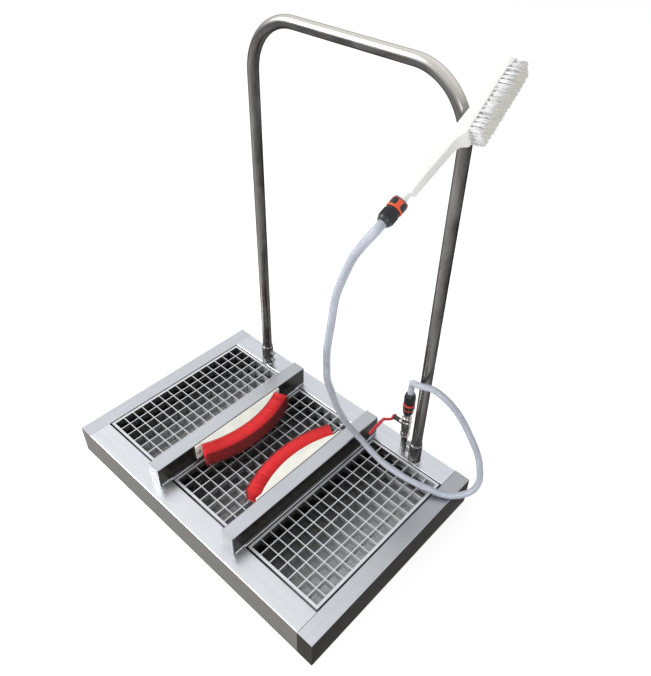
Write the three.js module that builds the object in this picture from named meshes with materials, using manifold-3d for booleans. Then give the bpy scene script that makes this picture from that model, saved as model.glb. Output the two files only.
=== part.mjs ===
// Boot washing station: a floor tray with three lift-out grates, two boot brushes on raised beams,
// a tubular handrail, and a ball valve that feeds a hose with a hand brush. Millimetres, +Z up.
// The origin is the middle of the tray's underside. +X runs along the tray, +Y to the handrail.
import * as THREE from "three";
import { mergeGeometries, mergeVertices } from "three/addons/utils/BufferGeometryUtils.js";
import Module from "manifold-3d";

const wasm = await Module();
wasm.setup();

// Tray
const TRAY_LENGTH = 900;
const TRAY_DEPTH = 605;
const TRAY_HEIGHT = 92;
const SHEET = 2; // thickness of the folded sheet
const FOLD_RADIUS = 3;
const SIDE_BORDER = 45;
const END_BORDER = 64; // front and back borders
const CROSS_MEMBER_WIDTH = 51;
const SEAT_GAP = 0.3; // clearance between pieces that touch
const OVERRUN = 4; // how far a cut runs past the face it opens
const WELL_COUNT = 3;

// Grates and the ledges that carry them
const GRATE_CLEARANCE = 4; // gap all round a grate in its well
const GRATE_HEIGHT = 20;
const GRATE_FRAME_BAR = 7;
const GRATE_BAR = 2.5;
const GRATE_MESH = 30; // nominal pitch of the bars
const LEDGE_WIDTH = 14;
const LEDGE_THICKNESS = 3;

// Drainage
const NOTCH_WIDTH = 40; // drain notches at the foot of a cross member
const NOTCH_HEIGHT = 14;
const NOTCH_COUNT = 3;
const DRAIN_RADIUS = 16;
const DRAIN_WALL = 2;
const DRAIN_REACH = 30; // how far the drain stands out behind the tray
const DRAIN_HEIGHT = 24; // centre of the drain over the floor
const STRAINER_RIM = 5;
const STRAINER_THICKNESS = 2;
const STRAINER_HOLE_RADIUS = 2.5;
const STRAINER_HOLES = 6;

// Beams
const BEAM_WIDTH = 40;
const BEAM_HEIGHT = 60;
const BEAM_WALL = 2;
const BEAM_CORNER = 4;
const BEAM_FRONT_SETBACK = 32; // from the tray's front edge
const BEAM_BACK_SETBACK = 40;
const BEAM_CAP = 3;

// Boot brushes
const BLOCK_HALF_CHORD = 135; // half the length of the curved front
const BLOCK_CROWN = 31; // how far the curve stands forward of its ends
const BLOCK_END = 5; // thickness where the curve ends, and of the lugs
const BLOCK_HEIGHT = 47;
const BLOCK_TOP_DROP = 2; // below the beam's top
const BLOCK_STANDOFF = 2; // bosses that hold the block off the beam
const BLOCK_BOSS_RADIUS = 8;
const LUG_LENGTH = 18;
const BRUSH_BOLT_INSET = 8; // from the lug's end
const BRUSH_BOLT_DROP = 24; // below the block's top
const BRUSH_BOLT_RADIUS = 3;
const BRUSH_BOLT_HEAD = 4.5;
const BRUSH_BOLT_HEAD_HEIGHT = 3.5;
const BRUSH_BOLT_LENGTH = 14;
const BRISTLE_REACH = 44; // from the block's curve
const BRISTLE_RADIUS = 1.2;
const BRISTLE_BACKING = 3; // slice of backing that the bristles stand in
const BRISTLE_COLUMNS = 17;
const BRISTLE_ROWS = 7;
const BRISTLE_EDGE = 3.5; // from the outer bristles to the backing's edge
const BRISTLE_SIDES = 3;

// Handrail
const RAIL_RADIUS = 14;
const RAIL_WALL = 2;
const RAIL_SPAN = 575; // between the posts' axes
const RAIL_OFFSET = 14; // the rail's middle, right of the tray's
const RAIL_TOP = 1117; // crossbar's axis over the floor
const RAIL_BEND = 130;
const RAIL_SETBACK = 46.5; // posts' axes from the tray's back edge
const RAIL_FACETS = 16;
const BEND_STEPS = 6;
const SOCKET_RADIUS = 17;
const SOCKET_BORE = 14.6;
const SOCKET_HEIGHT = 66;
const CLAMP_BOLT_RADIUS = 3;
const CLAMP_BOLT_HEAD = 5.5; // half the distance across flats
const CLAMP_BOLT_HEAD_HEIGHT = 5;
const CLAMP_BOLT_REACH = 12; // from the socket to the head's face
const CLAMP_BOLT_HEIGHTS = { lower: 20, upper: 46 }; // over the tray's top

// Water supply
const RISER_RADIUS = 8.6;
const RISER_BORE = 6.3;
const RISER_OFFSET = 44.5; // from the right post's axis, towards the left
const RISER_SETBACK = 38.5; // from the tray's back edge
const RISER_FOOT = 40;
const RISER_ENGAGEMENT = 9; // riser inside the valve
const ELBOW_RADIUS = 13;
const ELBOW_FOOT = 26;
const ELBOW_TOP = 60;
const INLET_RADIUS = 10.6;
const INLET_REACH = 26; // inlet nipple behind the tray
const INLET_HEIGHT = 42;
const RING_NUT_FLATS = 11; // half the distance across flats
const RING_NUT_HEIGHT = 7;

// Ball valve
const VALVE_FOOT = 156; // heights over the floor
const VALVE_AXIS = 192.5;
const VALVE_TOP = 232;
const VALVE_RADIUS = 13.5; // widest ring of the body
const VALVE_BORE = 5;
const VALVE_PROFILE_SHARES = [
  [0.79, 0], [0.83, 0.16], [0.95, 0.55], [1, 0.58], [1, 0.67], [0.88, 0.69],
  [0.86, 0.76], [0.91, 0.78], [0.91, 0.86], [0.7, 0.88], [0.7, 1],
];
const BALL_RADIUS = 9;
const BALL_ROOM = 0.6;
const BALL_SLOT = 4; // width of the slot that the stem turns the ball by
const STEM_RADIUS = 4;
const STEM_BOSS_RADIUS = 7;
const STEM_BOSS_REACH = 20; // from the valve's axis
const LEVER_PLANE = 39; // hub plate's face from the valve's axis
const LEVER_PLATE = 2.5;
const LEVER_HUB_RADIUS = 9;
const LEVER_WIDTH = 9;
const LEVER_JOGGLE = 16; // how far the grip stands out from the hub
const LEVER_LENGTH = 81; // from the axis to the middle of the grip's round end
const LEVER_GRIP = 6;
const LEVER_GRIP_LENGTH = 56;
const LEVER_REST_ANGLE = 10; // degrees open, from the closed stop
const LEVER_NUT_FLATS = 6.5; // half the distance across flats
const LEVER_NUT_HEIGHT = 4;

// Hose couplings
const NIPPLE_RADIUS = 9.5;
const NIPPLE_BORE = 5;
const NIPPLE_LENGTH = 14; // inside the coupling
const NIPPLE_NECK = 4; // clear of the coupling, on the tap side
const COUPLING_BORE = 9.8;
const COUPLING_RADIUS = 12.4; // core that the collar slides on
const SKIRT_RADIUS = 14.5;
const SKIRT_TAPER_SHARE = 0.84;
const COLLAR_RADIUS = 15.5;
const COLLAR_TRAVEL = 4;
const COLLAR_PAD = 0.8; // height of the grip pads over the collar
const COLLAR_PAD_WIDTH = 10;
const COLLAR_PAD_MARGIN = 3;
const COLLAR_PADS = 4;
const UNION_RADIUS = 14.5;
const UNION_CROWN_SHARES = [[1, 0.74], [0.88, 0.92], [0.7, 1]];
const TAP_COUPLING = { skirt: 17, collar: 21, union: 31 };
const BRUSH_COUPLING = { skirt: 4, collar: 19, union: 25 };

// Hose
const HOSE_RADIUS = 8.5;
const HOSE_SIDES = 8;
const HOSE_STEPS = 60;
const HOSE_LEAD = 17; // straight run at each end
// Middle line of the hose, from the tap to the hand brush
const HOSE_FROM_TAP = [
  [-44.5, 8, 341], [-38.5, -2, 358], [-24.5, -16, 376], [0.5, -29, 393], [35.5, -20, 396],
  [78.5, -9, 372], [110.5, 4, 330], [143.5, 10, 280], [166.5, 18, 230], [179.5, 20, 185],
  [187.5, 14, 150], [181.5, 0, 120], [162.5, -23, 107], [134.5, -45, 102], [86.5, -66, 109],
  [29.5, -78, 110],
]; // from the right post's axis at the floor
const HOSE_OVER_BEAM = [
  [122.5, -83, 114], [70.5, -85, 132], [46.5, -88, 150], [24.5, -98, 176], [9.5, -118, 222],
  [8.5, -152, 300],
]; // from the right beam's middle and the posts' plane, at the floor
const HOSE_TO_BRUSH = [
  [-168, 81, -563], [-158, 53, -493], [-142, 32, -423], [-121, 8, -353], [-106, 1, -273],
  [-93, -3, -198], [-63, -14, -123], [-32, -28, -63], [-10, -30, -28],
]; // from the hand brush's hose end

// Hand brush
const BRUSH_OFFSET = 26.5; // its plane, right of the right post's axis
const BRUSH_SETBACK = 269; // hose end of the hand brush, before the posts' axes
const BRUSH_END_Z = 953;
const BRUSH_ANGLE = 25; // degrees above the floor
const BRUSH_LENGTH = 398;
const HANDLE_HALF = 10.5; // half the side of its square section
const HANDLE_CORNER = 4;
const HANDLE_END = 200; // along the brush from its hose end
const HEAD_START = 206;
const HEAD_FULL = 214; // where the head reaches its full depth
const HEAD_HALF_WIDTH = 21; // at the tip
const HEAD_HEEL_FACE = 19; // half width of the bristle face at the thick end
const HEAD_HEEL_BACK = 10.5; // half width of the back there
const HEAD_BACK = 11; // behind the brush's axis
const HEAD_FRONT = 22; // bristle face before the axis, at the thick end
const HEAD_TIP_FRONT = -4; // bristle face before the axis, at the tip
const HEAD_NECK = 9; // half section where the head leaves the neck
const HEAD_CORNER = 14;
const HEAD_CORNER_STEPS = 6;
const HAND_BRISTLE_REACH = 28;
const HAND_BRISTLE_ROWS = 16;
const HAND_BRISTLE_COLUMNS = 4;
const HAND_BRISTLE_RADIUS = 1.1;
const HAND_BRISTLE_EDGE = 4.5; // from the side of the bristle face to the first row
const HAND_BRISTLE_MARGIN = 6;

// Peg that the hand brush rests on
const PEG_RADIUS = 7;
const PEG_REST = 221; // along the brush, where the peg carries it
const PEG_REST_OFFSET = 1; // from the brush's axis towards the bristles
const PEG_RISE = 8; // degrees
const PEG_END_SHARES = [[1, 0], [0.86, 0.35], [0.5, 0.6]];

// Derived places
const WELL_SPACE = TRAY_LENGTH - 2 * SIDE_BORDER - (WELL_COUNT - 1) * CROSS_MEMBER_WIDTH;
const WELL_WIDTH = WELL_SPACE / WELL_COUNT;
const WELL_PITCH = WELL_WIDTH + CROSS_MEMBER_WIDTH;
const WELL_HALF_DEPTH = TRAY_DEPTH / 2 - END_BORDER;
const INNER_HALF_LENGTH = TRAY_LENGTH / 2 - SIDE_BORDER - SEAT_GAP;
const LEDGE_TOP = TRAY_HEIGHT - GRATE_HEIGHT - SEAT_GAP;
const BEAM_X = WELL_PITCH / 2;
const BEAM_FOOT = TRAY_HEIGHT + SEAT_GAP;
const BEAM_FRONT = -TRAY_DEPTH / 2 + BEAM_FRONT_SETBACK;
const BEAM_BACK = TRAY_DEPTH / 2 - BEAM_BACK_SETBACK;
const BLOCK_FOOT = TRAY_HEIGHT + BEAM_HEIGHT - BLOCK_TOP_DROP - BLOCK_HEIGHT;
const BLOCK_BACK = BEAM_X - BEAM_WIDTH / 2 - BLOCK_STANDOFF;
const BRUSH_BOLT_Y = BLOCK_HALF_CHORD + LUG_LENGTH - BRUSH_BOLT_INSET;
const BRUSH_BOLT_HEIGHT = BLOCK_HEIGHT - BRUSH_BOLT_DROP;
const CURVE_RADIUS = (BLOCK_HALF_CHORD ** 2 + BLOCK_CROWN ** 2) / (2 * BLOCK_CROWN);
const CURVE_CENTRE = BLOCK_END + BLOCK_CROWN - CURVE_RADIUS; // from the block's back
const CURVE_ANGLE = Math.asin(BLOCK_HALF_CHORD / CURVE_RADIUS);
const RAIL_Y = TRAY_DEPTH / 2 - RAIL_SETBACK;
const RAIL_LEFT = RAIL_OFFSET - RAIL_SPAN / 2;
const RAIL_RIGHT = RAIL_OFFSET + RAIL_SPAN / 2;
const RISER_X = RAIL_RIGHT - RISER_OFFSET;
const RISER_Y = TRAY_DEPTH / 2 - RISER_SETBACK;
const RISER_TOP = VALVE_FOOT + RISER_ENGAGEMENT;
const BRUSH_TILT = THREE.MathUtils.degToRad(BRUSH_ANGLE);
const BRUSH_DIRECTION = new THREE.Vector3(0, Math.cos(BRUSH_TILT), Math.sin(BRUSH_TILT));
const BRUSH_END = new THREE.Vector3(RAIL_RIGHT + BRUSH_OFFSET, RAIL_Y - BRUSH_SETBACK, BRUSH_END_Z);
const TAP_COUPLING_FOOT = VALVE_TOP + SEAT_GAP + NIPPLE_NECK;
const SIDES = { left: -1, right: 1 };

// Facets of round pieces
const ROUND = 20;
const FINE = 16;
const MEDIUM = 12;
const SMALL = 10;
const FOLD_STEPS = 3;
const WELD = 1e-4; // vertices closer than this are one

// Materials
const metal = (color, roughness) =>
  new THREE.MeshStandardMaterial({ color, roughness, metalness: 1 });
const plastic = (color, roughness) =>
  new THREE.MeshStandardMaterial({ color, roughness, metalness: 0 });
const steel = metal(0xc9ccd0, 0.35);
const railSteel = metal(0xd4d4d2, 0.22);
const nickel = metal(0xb9b7b2, 0.25);
const whitePlastic = plastic(0xecece2, 0.45);
const redBristle = plastic(0xd8323a, 0.6);
const greyBristle = plastic(0xb9b89c, 0.6);
const redCoat = plastic(0xb83232, 0.35);
const blackPlastic = plastic(0x16171a, 0.4);
const orangePlastic = plastic(0xe05a32, 0.4);
const clearHose = plastic(0xc6cbd8, 0.2);

// Solids: geometry in, geometry out, with joins and cuts between
function solid(geometry) {
  const bare = geometry.clone();
  bare.deleteAttribute("normal");
  bare.deleteAttribute("uv");
  const merged = mergeVertices(bare, WELD);
  return new wasm.Manifold(
    new wasm.Mesh({
      numProp: 3,
      vertProperties: new Float32Array(merged.attributes.position.array),
      triVerts: new Uint32Array(merged.index.array),
    }),
  );
}

function geometryOf(body) {
  const mesh = body.getMesh();
  const geometry = new THREE.BufferGeometry();
  geometry.setAttribute("position", new THREE.BufferAttribute(mesh.vertProperties, 3));
  geometry.setIndex(new THREE.BufferAttribute(mesh.triVerts, 1));
  geometry.computeVertexNormals();
  return geometry;
}

function part(name, body, material) {
  const geometry = body.isBufferGeometry ? body : geometryOf(body);
  const mesh = new THREE.Mesh(geometry, material);
  mesh.name = name;
  return mesh;
}

function put(object, x, y, z) {
  object.position.set(x, y, z);
  return object;
}

function grouped(...members) {
  const group = new THREE.Group();
  group.add(...members);
  return group;
}

// A box between two corners
function block(low, high) {
  const size = high.map((value, i) => value - low[i]);
  const middle = high.map((value, i) => (value + low[i]) / 2);
  return solid(new THREE.BoxGeometry(...size).translate(...middle));
}

// A turned solid about +Z from [radius, height] pairs, up the outside, then down the bore or axis
function turned(profile, sides) {
  const points = profile.map(([radius, height]) => new THREE.Vector2(radius, height));
  return solid(new THREE.LatheGeometry(points, sides).rotateX(Math.PI / 2));
}

function rod(radius, low, high, sides = FINE) {
  return turned([[0, low], [radius, low], [radius, high], [0, high]], sides);
}

function sleeve(outer, inner, low, high, sides = FINE) {
  return turned([[inner, low], [outer, low], [outer, high], [inner, high], [inner, low]], sides);
}

// A six-sided bar about +Z
function hexBar(halfFlats, low, high) {
  return rod(halfFlats / Math.cos(Math.PI / 6), low, high, 6);
}

// A solid built about +Z, turned to lie about +X or +Y
const ALONG_X = new THREE.Matrix4().makeBasis(
  new THREE.Vector3(0, 1, 0),
  new THREE.Vector3(0, 0, 1),
  new THREE.Vector3(1, 0, 0),
);
const ALONG_Y = new THREE.Matrix4().makeBasis(
  new THREE.Vector3(0, 0, 1),
  new THREE.Vector3(1, 0, 0),
  new THREE.Vector3(0, 1, 0),
);

function turnTo(matrix, body) {
  return solid(geometryOf(body).applyMatrix4(matrix));
}

function extruded(shape, depth, curveSegments = FINE) {
  return new THREE.ExtrudeGeometry(shape, { depth, bevelEnabled: false, curveSegments });
}

// A closed form through loops of corners, each loop anticlockwise about the way they run
function lofted(loops) {
  const size = loops[0].length;
  const last = (loops.length - 1) * size;
  const faces = [];
  for (let low = 0; low < last; low += size) {
    const high = low + size;
    for (let i = 0; i < size; i++) {
      const next = (i + 1) % size;
      faces.push(low + i, low + next, high + next);
      faces.push(low + i, high + next, high + i);
    }
  }
  for (let i = 1; i < size - 1; i++) {
    faces.push(0, i + 1, i);
    faces.push(last, last + i, last + i + 1);
  }
  const geometry = new THREE.BufferGeometry();
  geometry.setAttribute("position", new THREE.Float32BufferAttribute(loops.flat(2), 3));
  geometry.setIndex(faces);
  return geometry;
}

// An outline in X and Z, drawn out along +Y from a start
function drawnAlongY(shape, start, length, curveSegments) {
  const geometry = extruded(shape, length, curveSegments);
  return solid(geometry.rotateX(Math.PI / 2).translate(0, start + length, 0));
}

// A rectangle; the first radius rounds its low corners, the second its high corners
function roundedOutline(left, low, right, high, lowRadius, highRadius) {
  const outline = new THREE.Shape();
  const quarter = Math.PI / 2;
  outline.moveTo(left + lowRadius, low);
  outline.lineTo(right - lowRadius, low);
  if (lowRadius) outline.absarc(right - lowRadius, low + lowRadius, lowRadius, -quarter, 0);
  outline.lineTo(right, high - highRadius);
  if (highRadius) outline.absarc(right - highRadius, high - highRadius, highRadius, 0, quarter);
  outline.lineTo(left + highRadius, high);
  if (highRadius) {
    outline.absarc(left + highRadius, high - highRadius, highRadius, quarter, Math.PI);
  }
  outline.lineTo(left, low + lowRadius);
  if (lowRadius) {
    outline.absarc(left + lowRadius, low + lowRadius, lowRadius, Math.PI, 3 * quarter);
  }
  return outline;
}

function circleOutline(radius, sides, Kind = THREE.Shape) {
  const points = [];
  for (let i = 0; i < sides; i++) {
    const angle = (i * 2 * Math.PI) / sides;
    points.push(new THREE.Vector2(radius * Math.cos(angle), radius * Math.sin(angle)));
  }
  return new Kind(points);
}

// Tray members: folded channels, open underneath, closed at their ends
function channel(width, length, height) {
  const outline = roundedOutline(-width / 2, 0, width / 2, height, 0, FOLD_RADIUS);
  const inside = block(
    [-width / 2 + SHEET, -length / 2 + SHEET, -OVERRUN],
    [width / 2 - SHEET, length / 2 - SHEET, height - SHEET],
  );
  return drawnAlongY(outline, -length / 2, length, FOLD_STEPS).subtract(inside);
}

function sideMember(side) {
  const member = channel(SIDE_BORDER, TRAY_DEPTH, TRAY_HEIGHT);
  const x = (SIDES[side] * (TRAY_LENGTH - SIDE_BORDER)) / 2;
  return put(part(`side_member_${side}`, member, steel), x, 0, 0);
}

// A member across the tray, with a ledge on its wall towards the wells
function endMember(name, towards, holes) {
  const lying = geometryOf(channel(END_BORDER, 2 * INNER_HALF_LENGTH, TRAY_HEIGHT));
  const wall = (towards * END_BORDER) / 2;
  const edges = [wall - (towards * SHEET) / 2, wall + towards * LEDGE_WIDTH];
  const ledge = block(
    [-INNER_HALF_LENGTH, Math.min(...edges), LEDGE_TOP - LEDGE_THICKNESS],
    [INNER_HALF_LENGTH, Math.max(...edges), LEDGE_TOP],
  );
  let member = solid(lying.rotateZ(Math.PI / 2)).add(ledge);
  for (const hole of holes) member = member.subtract(hole);
  const y = -towards * (WELL_HALF_DEPTH + END_BORDER / 2);
  return put(part(name, member, steel), 0, y, 0);
}

function backMember() {
  const middle = WELL_HALF_DEPTH + END_BORDER / 2;
  const riser = rod(RISER_RADIUS + SEAT_GAP, LEDGE_TOP, TRAY_HEIGHT + OVERRUN);
  const drain = rod(DRAIN_RADIUS + SEAT_GAP, -END_BORDER, END_BORDER);
  const inlet = rod(INLET_RADIUS + SEAT_GAP, 0, END_BORDER);
  return endMember("back_member", -1, [
    riser.translate([RISER_X, RISER_Y - middle, 0]),
    turnTo(ALONG_Y, drain).translate([0, 0, DRAIN_HEIGHT]),
    turnTo(ALONG_Y, inlet).translate([RISER_X, 0, INLET_HEIGHT]),
  ]);
}

function crossMember(side) {
  const foot = SHEET + SEAT_GAP;
  const length = 2 * (WELL_HALF_DEPTH - SEAT_GAP);
  const reach = CROSS_MEMBER_WIDTH / 2 + OVERRUN;
  let member = channel(CROSS_MEMBER_WIDTH, length, TRAY_HEIGHT - foot);
  for (let i = 0; i < NOTCH_COUNT; i++) {
    const y = (i - (NOTCH_COUNT - 1) / 2) * (length / NOTCH_COUNT);
    member = member.subtract(
      block([-reach, y - NOTCH_WIDTH / 2, -OVERRUN], [reach, y + NOTCH_WIDTH / 2, NOTCH_HEIGHT]),
    );
  }
  for (const end of [-1, 1]) {
    const edges = [end * WELL_HALF_DEPTH, end * (WELL_HALF_DEPTH - LEDGE_WIDTH - SEAT_GAP)];
    member = member.subtract(
      block(
        [-reach, Math.min(...edges), LEDGE_TOP - LEDGE_THICKNESS - SEAT_GAP - foot],
        [reach, Math.max(...edges), LEDGE_TOP + SEAT_GAP - foot],
      ),
    );
  }
  return put(part(`cross_member_${side}`, member, steel), SIDES[side] * BEAM_X, 0, foot);
}

function panFloor() {
  const halfDepth = WELL_HALF_DEPTH - SEAT_GAP;
  const low = [-INNER_HALF_LENGTH, -halfDepth, 0];
  return part("pan_floor", block(low, [INNER_HALF_LENGTH, halfDepth, SHEET]), steel);
}

function drainPipe() {
  const pipe = sleeve(DRAIN_RADIUS, DRAIN_RADIUS - DRAIN_WALL, 0, END_BORDER + DRAIN_REACH);
  const mesh = part("drain_pipe", turnTo(ALONG_Y, pipe), steel);
  return put(mesh, 0, WELL_HALF_DEPTH, DRAIN_HEIGHT);
}

function drainStrainer() {
  const front = -STRAINER_THICKNESS - SEAT_GAP;
  let plate = rod(DRAIN_RADIUS + STRAINER_RIM, front, -SEAT_GAP);
  const ring = (DRAIN_RADIUS - DRAIN_WALL) / 2;
  for (let i = 0; i < STRAINER_HOLES; i++) {
    const angle = (i * 2 * Math.PI) / STRAINER_HOLES;
    const hole = rod(STRAINER_HOLE_RADIUS, front - OVERRUN, OVERRUN, 8);
    plate = plate.subtract(hole.translate([ring * Math.cos(angle), ring * Math.sin(angle), 0]));
  }
  const mesh = part("drain_strainer", turnTo(ALONG_Y, plate), steel);
  return put(mesh, 0, WELL_HALF_DEPTH, DRAIN_HEIGHT);
}

function tray() {
  const members = Object.keys(SIDES).flatMap((side) => [sideMember(side), crossMember(side)]);
  const ends = [endMember("front_member", 1, []), backMember()];
  return grouped(...members, ...ends, panFloor(), drainPipe(), drainStrainer());
}

// Grates: a frame of flat bar filled with a square mesh of thin bars
function grateBody() {
  const halfWidth = WELL_WIDTH / 2 - GRATE_CLEARANCE;
  const halfDepth = WELL_HALF_DEPTH - GRATE_CLEARANCE;
  const clearWidth = 2 * (halfWidth - GRATE_FRAME_BAR);
  const clearDepth = 2 * (halfDepth - GRATE_FRAME_BAR);
  const columns = Math.round((clearWidth + GRATE_BAR) / GRATE_MESH);
  const rows = Math.round((clearDepth + GRATE_BAR) / GRATE_MESH);
  const cellWidth = (clearWidth - (columns - 1) * GRATE_BAR) / columns;
  const cellDepth = (clearDepth - (rows - 1) * GRATE_BAR) / rows;
  const cells = [];
  for (let i = 0; i < columns; i++) {
    for (let j = 0; j < rows; j++) {
      const cell = new THREE.BoxGeometry(cellWidth, cellDepth, GRATE_HEIGHT + 2 * OVERRUN);
      const x = (i - (columns - 1) / 2) * (cellWidth + GRATE_BAR);
      const y = (j - (rows - 1) / 2) * (cellDepth + GRATE_BAR);
      cells.push(cell.translate(x, y, GRATE_HEIGHT / 2));
    }
  }
  const plate = block([-halfWidth, -halfDepth, 0], [halfWidth, halfDepth, GRATE_HEIGHT]);
  return plate.subtract(solid(mergeGeometries(cells)));
}

function grates() {
  const names = ["left", "middle", "right"];
  return grouped(
    ...names.map((name, i) => {
      const x = (i - (WELL_COUNT - 1) / 2) * WELL_PITCH;
      const mesh = part(`grate_${name}`, grateBody(), steel);
      return put(mesh, x, 0, TRAY_HEIGHT - GRATE_HEIGHT);
    }),
  );
}

// Beams: rectangular tube with welded end caps
function beamOutline(inset) {
  const half = BEAM_WIDTH / 2 - inset;
  const radius = BEAM_CORNER - inset;
  return roundedOutline(-half, inset, half, BEAM_HEIGHT - SEAT_GAP - inset, radius, radius);
}

function beam(side) {
  const start = BEAM_FRONT + BEAM_CAP + SEAT_GAP;
  const length = BEAM_BACK - BEAM_CAP - SEAT_GAP - start;
  const inside = drawnAlongY(beamOutline(BEAM_WALL), start - OVERRUN, length + 2 * OVERRUN, 2);
  let tube = drawnAlongY(beamOutline(0), start, length, FOLD_STEPS).subtract(inside);
  const wall = (-SIDES[side] * BEAM_WIDTH) / 2;
  const reach = BEAM_WALL + OVERRUN;
  const height = BLOCK_FOOT + BRUSH_BOLT_HEIGHT - BEAM_FOOT;
  for (const end of [-1, 1]) {
    const hole = rod(BRUSH_BOLT_RADIUS + SEAT_GAP, -reach, reach, SMALL);
    tube = tube.subtract(turnTo(ALONG_X, hole).translate([wall, end * BRUSH_BOLT_Y, height]));
  }
  return put(part(`beam_${side}`, tube, steel), SIDES[side] * BEAM_X, 0, BEAM_FOOT);
}

function beamCap(side, end, y) {
  const cap = drawnAlongY(beamOutline(0), 0, BEAM_CAP, FOLD_STEPS);
  return put(part(`beam_cap_${side}_${end}`, cap, steel), SIDES[side] * BEAM_X, y, BEAM_FOOT);
}

function beams() {
  const group = new THREE.Group();
  for (const side of Object.keys(SIDES)) {
    group.add(beam(side));
    group.add(beamCap(side, "front", BEAM_FRONT));
    group.add(beamCap(side, "back", BEAM_BACK - BEAM_CAP));
  }
  return group;
}

// Boot brushes: a block with a curved front, lugs at its ends, and bristles that fan out
const facing = (side) => (side === "left" ? 0 : Math.PI);

function blockOutline() {
  const outline = new THREE.Shape();
  const reach = BLOCK_HALF_CHORD + LUG_LENGTH;
  const inset = CURVE_RADIUS - BRISTLE_BACKING - SEAT_GAP;
  outline.moveTo(0, -reach);
  outline.lineTo(BLOCK_END, -reach);
  outline.lineTo(BLOCK_END, -BLOCK_HALF_CHORD);
  outline.absarc(CURVE_CENTRE, 0, inset, -CURVE_ANGLE, CURVE_ANGLE);
  outline.lineTo(BLOCK_END, BLOCK_HALF_CHORD);
  outline.lineTo(BLOCK_END, reach);
  outline.lineTo(0, reach);
  return outline;
}

function brushBlock(side) {
  let body = solid(extruded(blockOutline(), BLOCK_HEIGHT));
  for (const end of [-1, 1]) {
    const place = [0, end * BRUSH_BOLT_Y, BRUSH_BOLT_HEIGHT];
    const boss = rod(BLOCK_BOSS_RADIUS, SEAT_GAP - BLOCK_STANDOFF, BLOCK_END / 2, MEDIUM);
    const hole = rod(BRUSH_BOLT_RADIUS + SEAT_GAP, -OVERRUN, BLOCK_END + OVERRUN, SMALL);
    body = body.add(turnTo(ALONG_X, boss).translate(place));
    body = body.subtract(turnTo(ALONG_X, hole).translate(place));
  }
  return part(`boot_brush_block_${side}`, body, whitePlastic);
}

// One bristle: a thin prism from its base to its tip
function strand(base, tip, radius) {
  const along = new THREE.Vector3().subVectors(tip, base);
  const up = new THREE.Vector3(0, 0, 1);
  const turn = new THREE.Quaternion().setFromUnitVectors(up, along.clone().normalize());
  const loops = [];
  for (const end of [0, along.length()]) {
    const loop = [];
    for (let i = 0; i < BRISTLE_SIDES; i++) {
      const angle = (i * 2 * Math.PI) / BRISTLE_SIDES;
      const corner = new THREE.Vector3(radius * Math.cos(angle), radius * Math.sin(angle), end);
      loop.push(corner.applyQuaternion(turn).add(base).toArray());
    }
    loops.push(loop);
  }
  return lofted(loops);
}

function bootBristles(side) {
  const inner = CURVE_RADIUS - BRISTLE_BACKING;
  const sweep = CURVE_ANGLE - SEAT_GAP / inner;
  const backing = new THREE.Shape();
  backing.absarc(CURVE_CENTRE, 0, CURVE_RADIUS, -sweep, sweep);
  backing.absarc(CURVE_CENTRE, 0, inner, sweep, -sweep, true);
  const strands = [];
  const edgeAngle = sweep - BRISTLE_EDGE / CURVE_RADIUS;
  const rowPitch = (BLOCK_HEIGHT - 2 * BRISTLE_EDGE) / (BRISTLE_ROWS - 1);
  for (let i = 0; i < BRISTLE_COLUMNS; i++) {
    const angle = ((2 * i) / (BRISTLE_COLUMNS - 1) - 1) * edgeAngle;
    const out = new THREE.Vector3(Math.cos(angle), Math.sin(angle), 0);
    for (let j = 0; j < BRISTLE_ROWS; j++) {
      const centre = new THREE.Vector3(CURVE_CENTRE, 0, BRISTLE_EDGE + j * rowPitch);
      const base = centre.clone().addScaledVector(out, CURVE_RADIUS - BRISTLE_BACKING / 2);
      const tip = centre.clone().addScaledVector(out, CURVE_RADIUS + BRISTLE_REACH);
      strands.push(strand(base, tip, BRISTLE_RADIUS));
    }
  }
  const body = solid(extruded(backing, BLOCK_HEIGHT)).add(solid(mergeGeometries(strands)));
  return part(`boot_brush_bristles_${side}`, body, redBristle);
}

function brushBolt(side, end, name) {
  const seat = BLOCK_END + SEAT_GAP;
  const shank = rod(BRUSH_BOLT_RADIUS, BLOCK_END - BRUSH_BOLT_LENGTH, seat, SMALL);
  const crown = seat + BRUSH_BOLT_HEAD_HEIGHT;
  const head = turned(
    [
      [0, seat], [BRUSH_BOLT_HEAD, seat], [BRUSH_BOLT_HEAD, (seat + crown) / 2],
      [BRUSH_BOLT_HEAD / 2, crown], [0, crown],
    ],
    SMALL,
  );
  const bolt = part(`brush_bolt_${side}_${name}`, turnTo(ALONG_X, shank.add(head)), nickel);
  return put(bolt, 0, end * BRUSH_BOLT_Y, BRUSH_BOLT_HEIGHT);
}

function bootBrush(side) {
  const brush = grouped(brushBlock(side), bootBristles(side));
  brush.add(brushBolt(side, -1, "a"), brushBolt(side, 1, "b"));
  brush.rotation.z = facing(side);
  return put(brush, SIDES[side] * BLOCK_BACK, 0, BLOCK_FOOT);
}

// Handrail: one bent tube whose stations lie only at the feet and through the bends
class StationCurve extends THREE.Curve {
  constructor(stations) {
    super();
    this.stations = stations;
  }
  station(share) {
    return this.stations[Math.round(share * (this.stations.length - 1))];
  }
  getPointAt(share, target = new THREE.Vector3()) {
    return target.copy(this.station(share).point);
  }
  getTangentAt(share, target = new THREE.Vector3()) {
    return target.copy(this.station(share).tangent);
  }
}

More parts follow.
